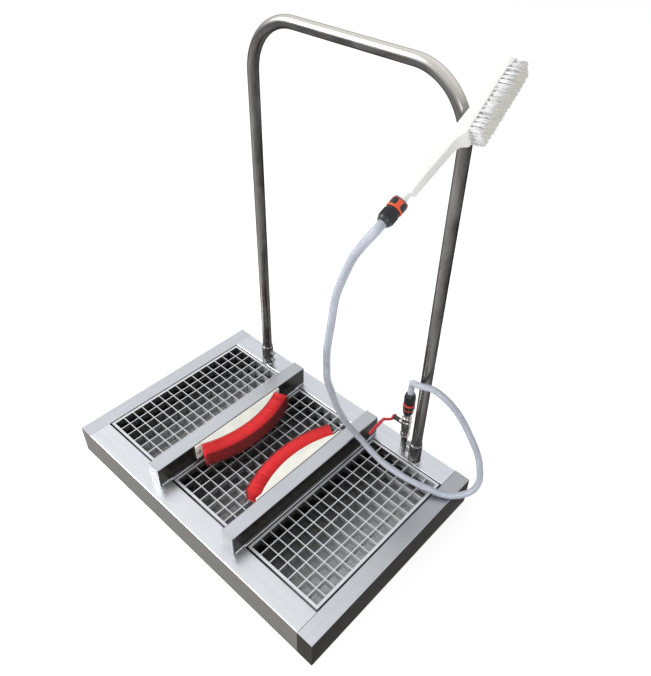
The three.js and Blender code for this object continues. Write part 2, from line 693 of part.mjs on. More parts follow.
function railStations() {
  const stations = [];
  const add = (x, z, dx, dz) =>
    stations.push({ point: new THREE.Vector3(x, 0, z), tangent: new THREE.Vector3(dx, 0, dz) });
  const bendFoot = RAIL_TOP - RAIL_BEND;
  add(RAIL_LEFT, BEAM_FOOT, 0, 1);
  for (let i = 0; i <= BEND_STEPS; i++) {
    const turn = (i * Math.PI) / 2 / BEND_STEPS;
    const x = RAIL_LEFT + RAIL_BEND * (1 - Math.cos(turn));
    add(x, bendFoot + RAIL_BEND * Math.sin(turn), Math.sin(turn), Math.cos(turn));
  }
  for (let i = 0; i <= BEND_STEPS; i++) {
    const turn = (i * Math.PI) / 2 / BEND_STEPS;
    const x = RAIL_RIGHT - RAIL_BEND * (1 - Math.sin(turn));
    add(x, bendFoot + RAIL_BEND * Math.cos(turn), Math.cos(turn), -Math.sin(turn));
  }
  add(RAIL_RIGHT, BEAM_FOOT, 0, -1);
  return stations;
}

function handrail() {
  const stations = railStations();
  const section = circleOutline(RAIL_RADIUS, RAIL_FACETS);
  section.holes.push(circleOutline(RAIL_RADIUS - RAIL_WALL, RAIL_FACETS, THREE.Path));
  const geometry = new THREE.ExtrudeGeometry(section, {
    steps: stations.length - 1,
    extrudePath: new StationCurve(stations),
    bevelEnabled: false,
  });
  return put(part("handrail", geometry, railSteel), 0, RAIL_Y, 0);
}

function railSocket(side) {
  let body = sleeve(SOCKET_RADIUS, SOCKET_BORE, 0, SOCKET_HEIGHT, ROUND);
  const group = new THREE.Group();
  for (const [name, height] of Object.entries(CLAMP_BOLT_HEIGHTS)) {
    const hole = rod(CLAMP_BOLT_RADIUS + SEAT_GAP, 0, SOCKET_RADIUS + OVERRUN, SMALL);
    body = body.subtract(turnTo(ALONG_X, hole).translate([0, 0, height]));
    const face = SOCKET_RADIUS + CLAMP_BOLT_REACH;
    const shank = rod(CLAMP_BOLT_RADIUS, RAIL_RADIUS + SEAT_GAP, face, SMALL);
    const head = hexBar(CLAMP_BOLT_HEAD, face - CLAMP_BOLT_HEAD_HEIGHT, face);
    const bolt = part(`clamp_bolt_${side}_${name}`, turnTo(ALONG_X, shank.add(head)), nickel);
    group.add(put(bolt, 0, 0, height));
  }
  group.add(part(`rail_socket_${side}`, body, steel));
  group.rotation.z = facing(side);
  return put(group, side === "left" ? RAIL_LEFT : RAIL_RIGHT, RAIL_Y, BEAM_FOOT);
}

// The peg is welded to the right post and reaches under the hand brush's head
function brushPeg() {
  const underside = -headHalfWidth(PEG_REST, PEG_REST_OFFSET);
  const shoulder = new THREE.Vector3(PEG_REST_OFFSET, PEG_REST, underside)
    .applyMatrix4(new THREE.Matrix4().makeRotationX(BRUSH_TILT))
    .add(BRUSH_END)
    .sub(new THREE.Vector3(0, 0, PEG_RADIUS + SEAT_GAP));
  const flat = Math.hypot(shoulder.x - RAIL_RIGHT, shoulder.y - RAIL_Y);
  const startZ = shoulder.z - flat * Math.tan(THREE.MathUtils.degToRad(PEG_RISE));
  const start = new THREE.Vector3(RAIL_RIGHT, RAIL_Y, startZ);
  const length = start.distanceTo(shoulder);
  const dome = PEG_END_SHARES.map(([r, h]) => [r * PEG_RADIUS, length + h * PEG_RADIUS]);
  const bar = turned([[0, 0], [PEG_RADIUS, 0], ...dome, [0, dome.at(-1)[1]]], MEDIUM);
  const turn = new THREE.Quaternion().setFromUnitVectors(
    new THREE.Vector3(0, 0, 1),
    shoulder.clone().sub(start).normalize(),
  );
  const leaning = solid(geometryOf(bar).applyQuaternion(turn));
  const cutRadius = (RAIL_RADIUS + SEAT_GAP) / Math.cos(Math.PI / RAIL_FACETS);
  const post = rod(cutRadius, -SOCKET_HEIGHT, SOCKET_HEIGHT, RAIL_FACETS);
  return put(part("brush_peg", leaning.subtract(post), railSteel), ...start.toArray());
}

// Water supply: inlet elbow inside the back member, riser and ring nut
function supply() {
  const out = RISER_SETBACK + INLET_REACH;
  const nipple = turnTo(ALONG_Y, rod(INLET_RADIUS, 0, out, MEDIUM));
  const waterway = turnTo(ALONG_Y, rod(RISER_BORE, 0, out + OVERRUN, SMALL));
  const elbow = rod(ELBOW_RADIUS, ELBOW_FOOT, ELBOW_TOP, MEDIUM)
    .add(nipple.translate([0, 0, INLET_HEIGHT]))
    .subtract(rod(RISER_RADIUS + SEAT_GAP, RISER_FOOT - SEAT_GAP, ELBOW_TOP + OVERRUN))
    .subtract(waterway.translate([0, 0, INLET_HEIGHT]));
  const riser = sleeve(RISER_RADIUS, RISER_BORE, RISER_FOOT, RISER_TOP);
  const nutTop = VALVE_FOOT - SEAT_GAP;
  const nut = hexBar(RING_NUT_FLATS, nutTop - RING_NUT_HEIGHT, nutTop).subtract(
    rod(RISER_RADIUS + SEAT_GAP, VALVE_FOOT - OVERRUN - RING_NUT_HEIGHT, VALVE_FOOT),
  );
  return grouped(
    part("inlet_elbow", elbow, nickel),
    part("riser_pipe", riser, steel),
    part("ring_nut", nut, nickel),
  );
}

// Ball valve: stem and lever stand out towards -X
function valveBody() {
  const socket = RISER_RADIUS + SEAT_GAP;
  const height = VALVE_TOP - VALVE_FOOT;
  const outside = VALVE_PROFILE_SHARES.map(([r, h]) => [r * VALVE_RADIUS, VALVE_FOOT + h * height]);
  const inside = [
    [VALVE_BORE, VALVE_TOP], [VALVE_BORE, RISER_TOP + SEAT_GAP],
    [socket, RISER_TOP + SEAT_GAP], [socket, VALVE_FOOT],
  ];
  const boss = rod(STEM_BOSS_RADIUS, -STEM_BOSS_REACH, -BALL_RADIUS, MEDIUM);
  const stemHole = rod(STEM_RADIUS + SEAT_GAP, -STEM_BOSS_REACH - OVERRUN, 0, SMALL);
  const chamber = new THREE.SphereGeometry(BALL_RADIUS + BALL_ROOM, MEDIUM, 8);
  const body = turned([[socket, VALVE_FOOT], ...outside, ...inside], ROUND)
    .add(turnTo(ALONG_X, boss).translate([0, 0, VALVE_AXIS]))
    .subtract(solid(chamber).translate([0, 0, VALVE_AXIS]))
    .subtract(turnTo(ALONG_X, stemHole).translate([0, 0, VALVE_AXIS]));
  return part("valve_body", body, nickel);
}

// The lever: hub about the stem, then a joggle outwards and a grip towards -Y
function valveLever() {
  const hubFace = -LEVER_PLANE;
  const hubBack = hubFace - LEVER_PLATE;
  const gripFace = hubFace - LEVER_JOGGLE;
  const gripBack = gripFace - LEVER_GRIP;
  const bendStart = LEVER_HUB_RADIUS * Math.SQRT1_2;
  const bendEnd = LEVER_LENGTH - LEVER_GRIP_LENGTH;
  const side = new THREE.Shape();
  side.moveTo(hubFace, 0);
  side.lineTo(hubFace, -bendStart);
  side.lineTo(gripFace, -bendEnd);
  side.lineTo(gripFace, -LEVER_LENGTH);
  side.lineTo(gripBack, -LEVER_LENGTH);
  side.lineTo(gripBack, -bendEnd);
  side.lineTo(hubBack, -bendStart);
  side.lineTo(hubBack, 0);
  const arm = solid(extruded(side, LEVER_WIDTH).translate(0, 0, -LEVER_WIDTH / 2));
  const hub = turnTo(ALONG_X, rod(LEVER_HUB_RADIUS, hubBack, hubFace));
  const end = turnTo(ALONG_X, rod(LEVER_WIDTH / 2, gripBack, gripFace, MEDIUM));
  const hole = rod(STEM_RADIUS + SEAT_GAP, hubBack - OVERRUN, hubFace + OVERRUN, SMALL);
  const body = hub.add(arm).add(end.translate([0, -LEVER_LENGTH, 0]));
  return part("valve_lever", body.subtract(turnTo(ALONG_X, hole)), redCoat);
}

function valveBall() {
  const reach = BALL_RADIUS + OVERRUN;
  const ball = solid(new THREE.SphereGeometry(BALL_RADIUS, MEDIUM, 8));
  const bore = turnTo(ALONG_Y, rod(VALVE_BORE, -reach, reach, SMALL));
  const slot = block(
    [-reach, -BALL_SLOT / 2, -BALL_SLOT],
    [BALL_SLOT / 2 - BALL_RADIUS, BALL_SLOT / 2, BALL_SLOT],
  );
  return part("valve_ball", ball.subtract(bore).subtract(slot), nickel);
}

function valveStem() {
  const nutFace = LEVER_PLANE + LEVER_PLATE + SEAT_GAP + LEVER_NUT_HEIGHT;
  const half = BALL_SLOT / 2 - SEAT_GAP;
  const tang = block([-BALL_RADIUS - BALL_SLOT, -half, -half], [half - BALL_RADIUS, half, half]);
  const shank = rod(STEM_RADIUS, -nutFace - SEAT_GAP, -BALL_RADIUS - BALL_ROOM, SMALL);
  const shoulderRadius = STEM_BOSS_RADIUS - SEAT_GAP;
  const shoulderEnd = -STEM_BOSS_REACH - SEAT_GAP;
  const shoulder = rod(shoulderRadius, SEAT_GAP - LEVER_PLANE, shoulderEnd, MEDIUM);
  return part("valve_stem", turnTo(ALONG_X, shank.add(shoulder)).add(tang), nickel);
}

function leverNut() {
  const face = -LEVER_PLANE - LEVER_PLATE - SEAT_GAP;
  const back = face - LEVER_NUT_HEIGHT;
  const hole = rod(STEM_RADIUS + SEAT_GAP, back - OVERRUN, face + OVERRUN, SMALL);
  const nut = hexBar(LEVER_NUT_FLATS, back, face).subtract(hole);
  return part("lever_nut", turnTo(ALONG_X, nut), nickel);
}

function leverGroup() {
  const group = grouped(valveLever(), valveBall(), valveStem(), leverNut());
  group.rotation.x = THREE.MathUtils.degToRad(LEVER_REST_ANGLE);
  return put(group, 0, 0, VALVE_AXIS);
}

// Quick coupling about +Z: nipple into its foot, hose out of its top
const couplingLength = ({ skirt, collar, union }) =>
  skirt + SEAT_GAP + collar + COLLAR_TRAVEL + SEAT_GAP + union;

function couplingCollar(lengths, pads) {
  const inner = COUPLING_RADIUS + SEAT_GAP;
  const low = lengths.skirt + SEAT_GAP;
  const high = low + lengths.collar;
  let collar = sleeve(COLLAR_RADIUS, inner, low, high, ROUND);
  for (let i = 0; i < pads; i++) {
    const pad = block(
      [inner + COLLAR_PAD, -COLLAR_PAD_WIDTH / 2, low + COLLAR_PAD_MARGIN],
      [COLLAR_RADIUS + COLLAR_PAD, COLLAR_PAD_WIDTH / 2, high - COLLAR_PAD_MARGIN],
    );
    collar = collar.add(pad.rotate([0, 0, ((i + 1 / 2) * 360) / pads]));
  }
  return collar;
}

function coupling(name, lengths, collarMaterial, pads) {
  const top = couplingLength(lengths);
  const unionFoot = top - lengths.union;
  const coreTop = unionFoot - SEAT_GAP;
  const core = turned(
    [
      [COUPLING_BORE, 0], [SKIRT_TAPER_SHARE * SKIRT_RADIUS, 0],
      [SKIRT_RADIUS, lengths.skirt / 2], [SKIRT_RADIUS, lengths.skirt],
      [COUPLING_RADIUS, lengths.skirt], [COUPLING_RADIUS, coreTop],
      [COUPLING_BORE, coreTop], [COUPLING_BORE, 0],
    ],
    FINE,
  );
  const crown = UNION_CROWN_SHARES.map(([r, h]) => [r * UNION_RADIUS, unionFoot + h * lengths.union]);
  const union = turned([[0, unionFoot], [UNION_RADIUS, unionFoot], ...crown, [0, top]], FINE);
  return grouped(
    part(`${name}_coupling_body`, core, blackPlastic),
    part(`${name}_coupling_collar`, couplingCollar(lengths, pads), collarMaterial),
    part(`${name}_union_nut`, union, blackPlastic),
  );
}

function tapAdaptor() {
  const foot = VALVE_TOP + SEAT_GAP;
  const body = sleeve(NIPPLE_RADIUS, NIPPLE_BORE, foot, foot + NIPPLE_NECK + NIPPLE_LENGTH);
  return part("tap_adaptor", body, blackPlastic);
}

function valveAssembly() {
  const tap = put(coupling("tap", TAP_COUPLING, redCoat, 0), 0, 0, TAP_COUPLING_FOOT);
  const group = grouped(supply(), valveBody(), leverGroup(), tapAdaptor(), tap);
  return put(group, RISER_X, RISER_Y, 0);
}

// Hose: straight where it meets a coupling, and a smooth line through the route between
function hose() {
  const start = TAP_COUPLING_FOOT + couplingLength(TAP_COUPLING) + SEAT_GAP;
  const end = BRUSH_END.clone().addScaledVector(BRUSH_DIRECTION, -SEAT_GAP);
  const from = (origin, places) => places.map((place) => new THREE.Vector3(...place).add(origin));
  const points = [
    new THREE.Vector3(RISER_X, RISER_Y, start),
    new THREE.Vector3(RISER_X, RISER_Y, start + HOSE_LEAD),
    ...from(new THREE.Vector3(RAIL_RIGHT, RAIL_Y, 0), HOSE_FROM_TAP),
    ...from(new THREE.Vector3(BEAM_X, RAIL_Y, 0), HOSE_OVER_BEAM),
    ...from(BRUSH_END, HOSE_TO_BRUSH),
    end.clone().addScaledVector(BRUSH_DIRECTION, -HOSE_LEAD),
    end,
  ];
  const geometry = new THREE.ExtrudeGeometry(circleOutline(HOSE_RADIUS, HOSE_SIDES), {
    steps: HOSE_STEPS,
    extrudePath: new THREE.CatmullRomCurve3(points),
    bevelEnabled: false,
  });
  return part("hose", geometry, clearHose);
}

// Hand brush, built along +Y from its hose end, with its bristles towards +X
function handleSection() {
  const half = HANDLE_HALF;
  return roundedOutline(-half, -half, half, half, HANDLE_CORNER, HANDLE_CORNER);
}

function brushHandle() {
  const seat = couplingLength(BRUSH_COUPLING) + SEAT_GAP;
  const foot = seat - NIPPLE_LENGTH;
  const end = HANDLE_END - SEAT_GAP;
  const nipple = turnTo(ALONG_Y, rod(NIPPLE_RADIUS, foot, seat + OVERRUN));
  const waterway = turnTo(ALONG_Y, rod(NIPPLE_BORE, foot - OVERRUN, end + OVERRUN, SMALL));
  const grip = drawnAlongY(handleSection(), seat, end - seat, FOLD_STEPS);
  return part("hand_brush_handle", grip.add(nipple).subtract(waterway), whitePlastic);
}

// The head's bristle face slopes back towards the tip
const FACE_RUN = BRUSH_LENGTH - HEAD_FULL;
const FACE_ANGLE = Math.atan2(HEAD_FRONT - HEAD_TIP_FRONT, FACE_RUN);
const FACE_LENGTH = FACE_RUN / Math.cos(FACE_ANGLE);

// Along the head: its bristle face before the axis, and its half widths there and at its back
function headSizes(y) {
  const share = (y - HEAD_FULL) / FACE_RUN;
  const cornerRun = Math.max(0, y - BRUSH_LENGTH + HEAD_CORNER);
  const inset = HEAD_CORNER - Math.sqrt(HEAD_CORNER ** 2 - cornerRun ** 2);
  return {
    front: THREE.MathUtils.lerp(HEAD_FRONT, HEAD_TIP_FRONT, share),
    face: THREE.MathUtils.lerp(HEAD_HEEL_FACE, HEAD_HALF_WIDTH, share) - inset,
    back: THREE.MathUtils.lerp(HEAD_HEEL_BACK, HEAD_HALF_WIDTH, share) - inset,
  };
}

function headHalfWidth(y, x) {
  const { front, face, back } = headSizes(y);
  return THREE.MathUtils.lerp(back, face, (x + HEAD_BACK) / (front + HEAD_BACK));
}

const headLoop = (y, rear, front, back, face) => [
  [-rear, y, back], [front, y, face], [front, y, -face], [-rear, y, -back],
];

function wholeHead() {
  const loops = [headLoop(HEAD_START, HEAD_NECK, HEAD_NECK, HEAD_NECK, HEAD_NECK)];
  const places = [HEAD_FULL];
  for (let i = 0; i <= HEAD_CORNER_STEPS; i++) {
    const turn = ((Math.PI / 2) * i) / HEAD_CORNER_STEPS;
    places.push(BRUSH_LENGTH - HEAD_CORNER * (1 - Math.sin(turn)));
  }
  for (const y of places) {
    const { front, face, back } = headSizes(y);
    loops.push(headLoop(y, HEAD_BACK, front, back, face));
  }
  return solid(lofted(loops));
}

// The space before the bristle face, from a depth below it and a start along it
function faceSpace(depth, start) {
  const reach = HEAD_HALF_WIDTH + OVERRUN;
  const space = block([-depth, start, -reach], [HEAD_FRONT, FACE_LENGTH + HEAD_FRONT, reach]);
  const degrees = THREE.MathUtils.radToDeg(FACE_ANGLE);
  return space.rotate([0, 0, degrees]).translate([HEAD_FRONT, HEAD_FULL, 0]);
}

function brushHead() {
  const neck = drawnAlongY(handleSection(), HANDLE_END, HEAD_FULL - HANDLE_END, FOLD_STEPS);
  const body = wholeHead().subtract(faceSpace(BRISTLE_BACKING + SEAT_GAP, 0)).add(neck);
  return part("hand_brush_head", body, whitePlastic);
}

function handBristles() {
  const face = new THREE.Matrix4()
    .makeTranslation(HEAD_FRONT, HEAD_FULL, 0)
    .multiply(new THREE.Matrix4().makeRotationZ(FACE_ANGLE));
  const rowPitch = (FACE_LENGTH - 2 * HAND_BRISTLE_MARGIN) / (HAND_BRISTLE_ROWS - 1);
  const strands = [];
  for (let i = 0; i < HAND_BRISTLE_ROWS; i++) {
    const y = HAND_BRISTLE_MARGIN + i * rowPitch;
    const { face: half } = headSizes(HEAD_FULL + y * Math.cos(FACE_ANGLE));
    for (let j = 0; j < HAND_BRISTLE_COLUMNS; j++) {
      const z = ((2 * j) / (HAND_BRISTLE_COLUMNS - 1) - 1) * (half - HAND_BRISTLE_EDGE);
      const base = new THREE.Vector3(-BRISTLE_BACKING / 2, y, z).applyMatrix4(face);
      const tip = new THREE.Vector3(HAND_BRISTLE_REACH, y, z).applyMatrix4(face);
      strands.push(strand(base, tip, HAND_BRISTLE_RADIUS));
    }
  }
  const slice = wholeHead().intersect(faceSpace(BRISTLE_BACKING, SEAT_GAP));
  const body = slice.add(solid(mergeGeometries(strands)));
  return part("hand_brush_bristles", body, greyBristle);
}

function handBrush() {
  const brush = grouped(brushHandle(), brushHead(), handBristles());
  const connector = coupling("brush", BRUSH_COUPLING, orangePlastic, COLLAR_PADS);
  connector.rotation.x = Math.PI / 2;
  brush.add(put(connector, 0, couplingLength(BRUSH_COUPLING), 0));
  brush.rotation.x = BRUSH_TILT;
  return put(brush, ...BRUSH_END.toArray());
}

const station = grouped(tray(), grates(), beams(), handrail(), brushPeg());
for (const side of Object.keys(SIDES)) station.add(bootBrush(side), railSocket(side));
station.add(valveAssembly(), hose(), handBrush());
station.name = "boot_washing_station";
export default station;
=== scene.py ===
"""Boot washing station: its visible pieces and finishes, built around the CAD model."""
import math

import bmesh
import bpy
from bpy.props import FloatProperty, FloatVectorProperty, IntProperty, PointerProperty
from mathutils import Matrix, Vector


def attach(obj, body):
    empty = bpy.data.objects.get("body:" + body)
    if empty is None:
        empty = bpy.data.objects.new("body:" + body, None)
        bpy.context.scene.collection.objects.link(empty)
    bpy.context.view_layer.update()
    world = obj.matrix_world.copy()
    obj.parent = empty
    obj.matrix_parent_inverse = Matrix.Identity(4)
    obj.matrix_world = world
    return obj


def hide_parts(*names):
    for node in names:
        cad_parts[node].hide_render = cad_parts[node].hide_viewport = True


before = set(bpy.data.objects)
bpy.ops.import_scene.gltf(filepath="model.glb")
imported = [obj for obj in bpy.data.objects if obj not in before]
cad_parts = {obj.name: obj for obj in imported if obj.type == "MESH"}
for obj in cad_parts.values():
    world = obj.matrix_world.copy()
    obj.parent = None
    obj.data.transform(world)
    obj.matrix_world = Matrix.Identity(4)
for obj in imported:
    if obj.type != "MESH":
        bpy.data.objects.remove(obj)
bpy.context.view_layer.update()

bl_info = {
    "name": "Boot washing station",
    "version": (1, 0, 0),
    "blender": (4, 5, 0),
    "location": "3D View > Sidebar > Boot Wash",
    "description": "Builds the visible pieces and finishes of a boot washing station",
    "category": "Add Mesh",
}

# Shapes are worked out in millimetres, as in the CAD source, and stored in metres
MM = 0.001
UP = Vector((0, 0, 1))

# Places shared with the CAD source, in millimetres
TRAY_TOP = 92.0
TRAY_HALF_DEPTH = 302.5
WELL_HALF_DEPTH = 238.5
SEAM_X = 404.85
ON_TRAY = 92.3
BEAM_X = 143.5
BLOCK_X = {"left": -121.5, "right": 121.5}
BLOCK_FOOT = 103.0
POST_X = {"left": -273.5, "right": 301.5}
POST_Y = 256.0
VALVE_X = 257.0
VALVE_Y = 264.0
VALVE_AXIS = 192.5
LEVER_ANGLE = 10.0
TAP_FOOT = 236.3
BRUSH_END = Vector((328, -13, 953))
BRUSH_TILT = 25.0
BRUSH_COUPLING_LENGTH = 52.6
HOSE_START = Vector((257, 264, 310.2))
HOSE_LEAD = 17.0
HOSE_ROUTE = [
    (257, 264, 341), (263, 254, 358), (277, 240, 376), (302, 227, 393), (337, 236, 396),
    (380, 247, 372), (412, 260, 330), (445, 266, 280), (468, 274, 230), (481, 276, 185),
    (489, 270, 150), (483, 256, 120), (464, 233, 107), (436, 211, 102), (388, 190, 109),
    (331, 178, 110), (266, 173, 114), (214, 171, 132), (190, 168, 150), (168, 158, 176),
    (153, 138, 222), (152, 104, 300), (160, 68, 390), (170, 40, 460), (186, 19, 530),
    (207, -5, 600), (222, -12, 680), (235, -16, 755), (265, -27, 830), (296, -41, 890),
    (318, -43, 925),
]
# Gap round pieces that slide or turn against each other
SEAT_GAP = 0.3

# The view: fitted to the tray's corners and the posts
CAMERA_PLACE = Vector((888.93, -770.44, 1505.10))
CAMERA_RIGHT = Vector((0.734012, 0.678910, 0.017527))
CAMERA_UP = Vector((-0.450481, 0.467405, 0.760657))
CAMERA_BACK = Vector((0.508225, -0.566228, 0.648917))
CAMERA_LENS = 35.116
CAMERA_SENSOR = 36.0


def tint(code):
    """A written colour, such as "D8323A", as linear light."""
    levels = [int(code[i : i + 2], 16) / 255 for i in (0, 2, 4)]
    return tuple(
        level / 12.92 if level <= 0.04045 else ((level + 0.055) / 1.055) ** 2.4
        for level in levels
    )


def length(name, description, default):
    return FloatProperty(
        name=name, description=description, default=default, min=0.0, unit="LENGTH", precision=4
    )


def count(name, description, default):
    return IntProperty(name=name, description=description, default=default, min=1)


def share(name, description, default):
    return FloatProperty(
        name=name, description=description, default=default, min=0.0, max=1.0, subtype="FACTOR"
    )


def colour(name, description, code):
    return FloatVectorProperty(
        name=name,
        description=description,
        default=tint(code),
        size=3,
        min=0.0,
        max=1.0,
        subtype="COLOR",
    )


def power(name, description, default):
    return FloatProperty(name=name, description=description, default=default, unit="POWER")


class SteelSettings(bpy.types.PropertyGroup):
    """Colours and grain of the steel; sheet, end sheet, beam and rail are its lit colours, and
    skirt, beam side, beam cap and rail shade its painted shade.
    """

    sheet: colour("Sheet", "Brushed top faces of the tray", "DCDFE4")
    end_sheet: colour("End sheet", "Top faces of the tray's two ends", "D2D6DC")
    skirt: colour("Skirt", "Upright faces of the tray", "6C6A66")
    beam: colour("Beam", "Top faces of the beams", "C9CCD2")
    beam_side: colour("Beam side", "Upright faces of the beams", "A3A09B")
    cap: colour("Beam cap", "End caps of the beams", "808184")
    grate: colour("Grate", "Bars of the grates", "D6D8DC")
    pan: colour("Pan", "Floor pan under the grates", "F6F6F7")
    rail: colour("Rail", "Upper side of the handrail tube", "E4E4E4")
    rail_shade: colour("Rail shade", "Sides and underside of the tube", "686663")
    fastener: colour("Fasteners", "Bolts and nuts", "A9AAAC")
    nickel: colour("Nickel", "Plated valve and fittings", "A9A59C")
    grain: length("Grain", "Width of one brushing line", 0.0011)


class RailSettings(bpy.types.PropertyGroup):
    """Sizes of the handrail."""

    radius: length("Tube radius", "Outer radius of the handrail tube", 0.014)
    top: length("Top", "Height of the crossbar's axis over the floor", 1.117)
    bend: length("Bend", "Radius of the two bends", 0.130)
    socket_radius: length("Socket radius", "Outer radius of the post sockets", 0.017)
    socket_height: length("Socket height", "Height of the post sockets", 0.066)
    bead: length("Weld bead", "Half width of the weld beads", 0.0017)


class BootBrushSettings(bpy.types.PropertyGroup):
    """Sizes, tufts and colours of the boot brushes."""

    crown: length("Crown", "How far the curve stands forward of its ends", 0.031)
    half_chord: length("Half chord", "Half the length of the curved front", 0.135)
    height: length("Height", "Height of the blocks", 0.047)
    reach: length("Bristle reach", "Length of the bristles from the block", 0.0440)
    columns: count("Columns", "Rows of tufts along the curve", 72)
    rows: count("Rows", "Tufts up the block", 9)
    per_tuft: count("Bristles per tuft", "Bristles in each tuft", 10)
    block: colour("Block", "Off-white plastic of the blocks", "EBEBE1")
    bristle: colour("Bristles", "Red filament", "F8343A")


class ValveSettings(bpy.types.PropertyGroup):
    """Looks of the valve's lever."""

    lever: colour("Lever", "Dipped coating of the lever", "D2343A")
    grip_width: length("Grip width", "Width of the lever's grip", 0.0134)


class CouplingSettings(bpy.types.PropertyGroup):
    """Ribs and colours of the hose couplings."""

    ribs: count("Ribs", "Grip ribs round a union nut", 26)
    black: colour("Black", "Moulded black plastic", "0F1013")
    orange: colour("Orange", "Collar at the hand brush", "E05730")
    red: colour("Red", "Collar at the tap", "C8402F")


class HoseSettings(bpy.types.PropertyGroup):
    """Section and colour of the hose."""

    radius: length("Radius", "Outer radius of the hose", 0.0085)
    wall: length("Wall", "Thickness of the hose's wall", 0.0022)
    clear: colour("Clear", "Milky see-through plastic", "D3D8E3")


class HandBrushSettings(bpy.types.PropertyGroup):
    """Tufts and colours of the hand brush."""

    rows: count("Rows", "Rows of tufts along the head", 17)
    columns: count("Columns", "Tufts across the head", 6)
    per_tuft: count("Bristles per tuft", "Bristles in each tuft", 56)
    reach: length("Bristle reach", "Length of the bristles from the head", 0.0270)
    body: colour("Body", "White moulded plastic", "F0F0ED")
    bristle: colour("Bristles", "Pale filament", "FCFCFC")
    tips: colour("Tips", "Filament at the tips", "F4F2E8")


class StageSettings(bpy.types.PropertyGroup):
    """The floor's colour and the strength of each light."""

    floor: colour("Floor", "Pale studio floor", "D0D0D0")
    key: power("Key lamp", "Wide lamp over the front left", 200.0)
    fill: power("Fill lamp", "Smaller lamp at the front right", 22.0)
    world: share("Room light", "Light from all round", 0.36)


# Forms, in millimetres
# The most of a side that rounding a corner takes, and the radius below which a ring is a point
EASE_SHARE = 0.45
POLE = 1e-6


class Shape:
    """Points and faces gathered into one mesh; each face has the number of its finish."""

    def __init__(self):
        self.points = []
        self.faces = []
        self.finishes = []
        self.along = []

    def add(self, form, place=None, finish=0, along=None):
        points, faces = form
        start = len(self.points)
        self.points += [place @ p for p in points] if place else points
        self.faces += [[start + i for i in face] for face in faces]
        self.finishes += [finish] * len(faces)
        self.along += along if along else list(points)
        return self


def eased(outline, radius, cuts=3):
    """The same outline with its corners rounded."""
    closed = outline[0] == outline[-1]
    corners = [Vector(p) for p in (outline[:-1] if closed else outline)]
    made = []
    for i, corner in enumerate(corners):
        if not closed and i in (0, len(corners) - 1):
            made.append(tuple(corner))
            continue
        before = corners[i - 1] - corner
        after = corners[(i + 1) % len(corners)] - corner
        first = corner + before.normalized() * min(radius, before.length * EASE_SHARE)
        last = corner + after.normalized() * min(radius, after.length * EASE_SHARE)
        for k in range(cuts + 1):
            t = k / cuts
            made.append(tuple(first * (1 - t) ** 2 + corner * 2 * t * (1 - t) + last * t**2))
    return made + made[:1] if closed else made


def ring_outline(inner, outer, low, high, ease, cuts=3):
    """The outline of a plain ring, with its corners rounded."""
    corners = [(inner, low), (outer, low), (outer, high), (inner, high), (inner, low)]
    return eased(corners, ease, cuts)


def disc_outline(radius, low, high, ease):
    """The outline of a plain disc or pin, with its edges rounded."""
    return eased([(0, low), (radius, low), (radius, high), (0, high)], ease)


def squared(angle):
    """A place on a unit circle that is pushed out towards a square with round corners."""
    x, y = math.cos(angle), math.sin(angle)
    reach = (abs(x) ** 3 + abs(y) ** 3) ** (-1 / 3)
    return x * reach, y * reach


def stitched(rings, closed):
    """Faces between rings of point numbers; a ring of one number is a pole."""
    steps = max(len(ring) for ring in rings)
    faces = []
    pairs = list(zip(rings, rings[1:]))
    if closed:
        pairs.append((rings[-1], rings[0]))
    for low, high in pairs:
        for i in range(steps):
            j = (i + 1) % steps
            face = (low[i % len(low)], low[j % len(low)], high[j % len(high)], high[i % len(high)])
            face = list(dict.fromkeys(face))
            if len(face) > 2:
                faces.append(face)
    return faces


def revolved(outline, steps, turn=0.0):
    """A turned form about +Z from (radius, height) pairs; a closed outline makes a ring."""
    closed = outline[0] == outline[-1]
    points, rings = [], []
    for radius, height in outline[:-1] if closed else outline:
        start = len(points)
        if radius < POLE:
            points.append(Vector((0, 0, height)))
        else:
            for i in range(steps):
                angle = turn + 2 * math.pi * i / steps
                points.append(
                    Vector((radius * math.cos(angle), radius * math.sin(angle), height))
                )
        rings.append(list(range(start, len(points))))
    return points, stitched(rings, closed)


def hex_form(half_flats, low, high, chamfer):
    """A nut or the head of a bolt about +Z, with its corners turned off."""
    corner = half_flats / math.cos(math.pi / 6)
    outline = [
        (0, low), (corner - chamfer, low), (corner, low + chamfer * 0.7),
        (corner, high - chamfer * 0.7), (corner - chamfer, high), (0, high),
    ]
    return revolved(outline, 6, math.pi / 6)


def lofted(loops):
    """A closed form through loops that have the same number of points."""
    points = [p for loop in loops for p in loop]
    size = len(loops[0])
    rings = [list(range(i * size, (i + 1) * size)) for i in range(len(loops))]
    return points, [rings[0][::-1], *stitched(rings, False), rings[-1]]


def carried(line):
    """A frame at each point of a line, turned along it without twist."""
    last = len(line) - 1
    ways = [
        (line[min(i + 1, last)] - line[max(i - 1, 0)]).normalized() for i in range(last + 1)
    ]
    side = ways[0].orthogonal().normalized()
    frames = []
    for i, way in enumerate(ways):
        if i:
            side = ways[i - 1].rotation_difference(way) @ side
            side = (side - way * side.dot(way)).normalized()
        frames.append((side, way.cross(side)))
    return frames


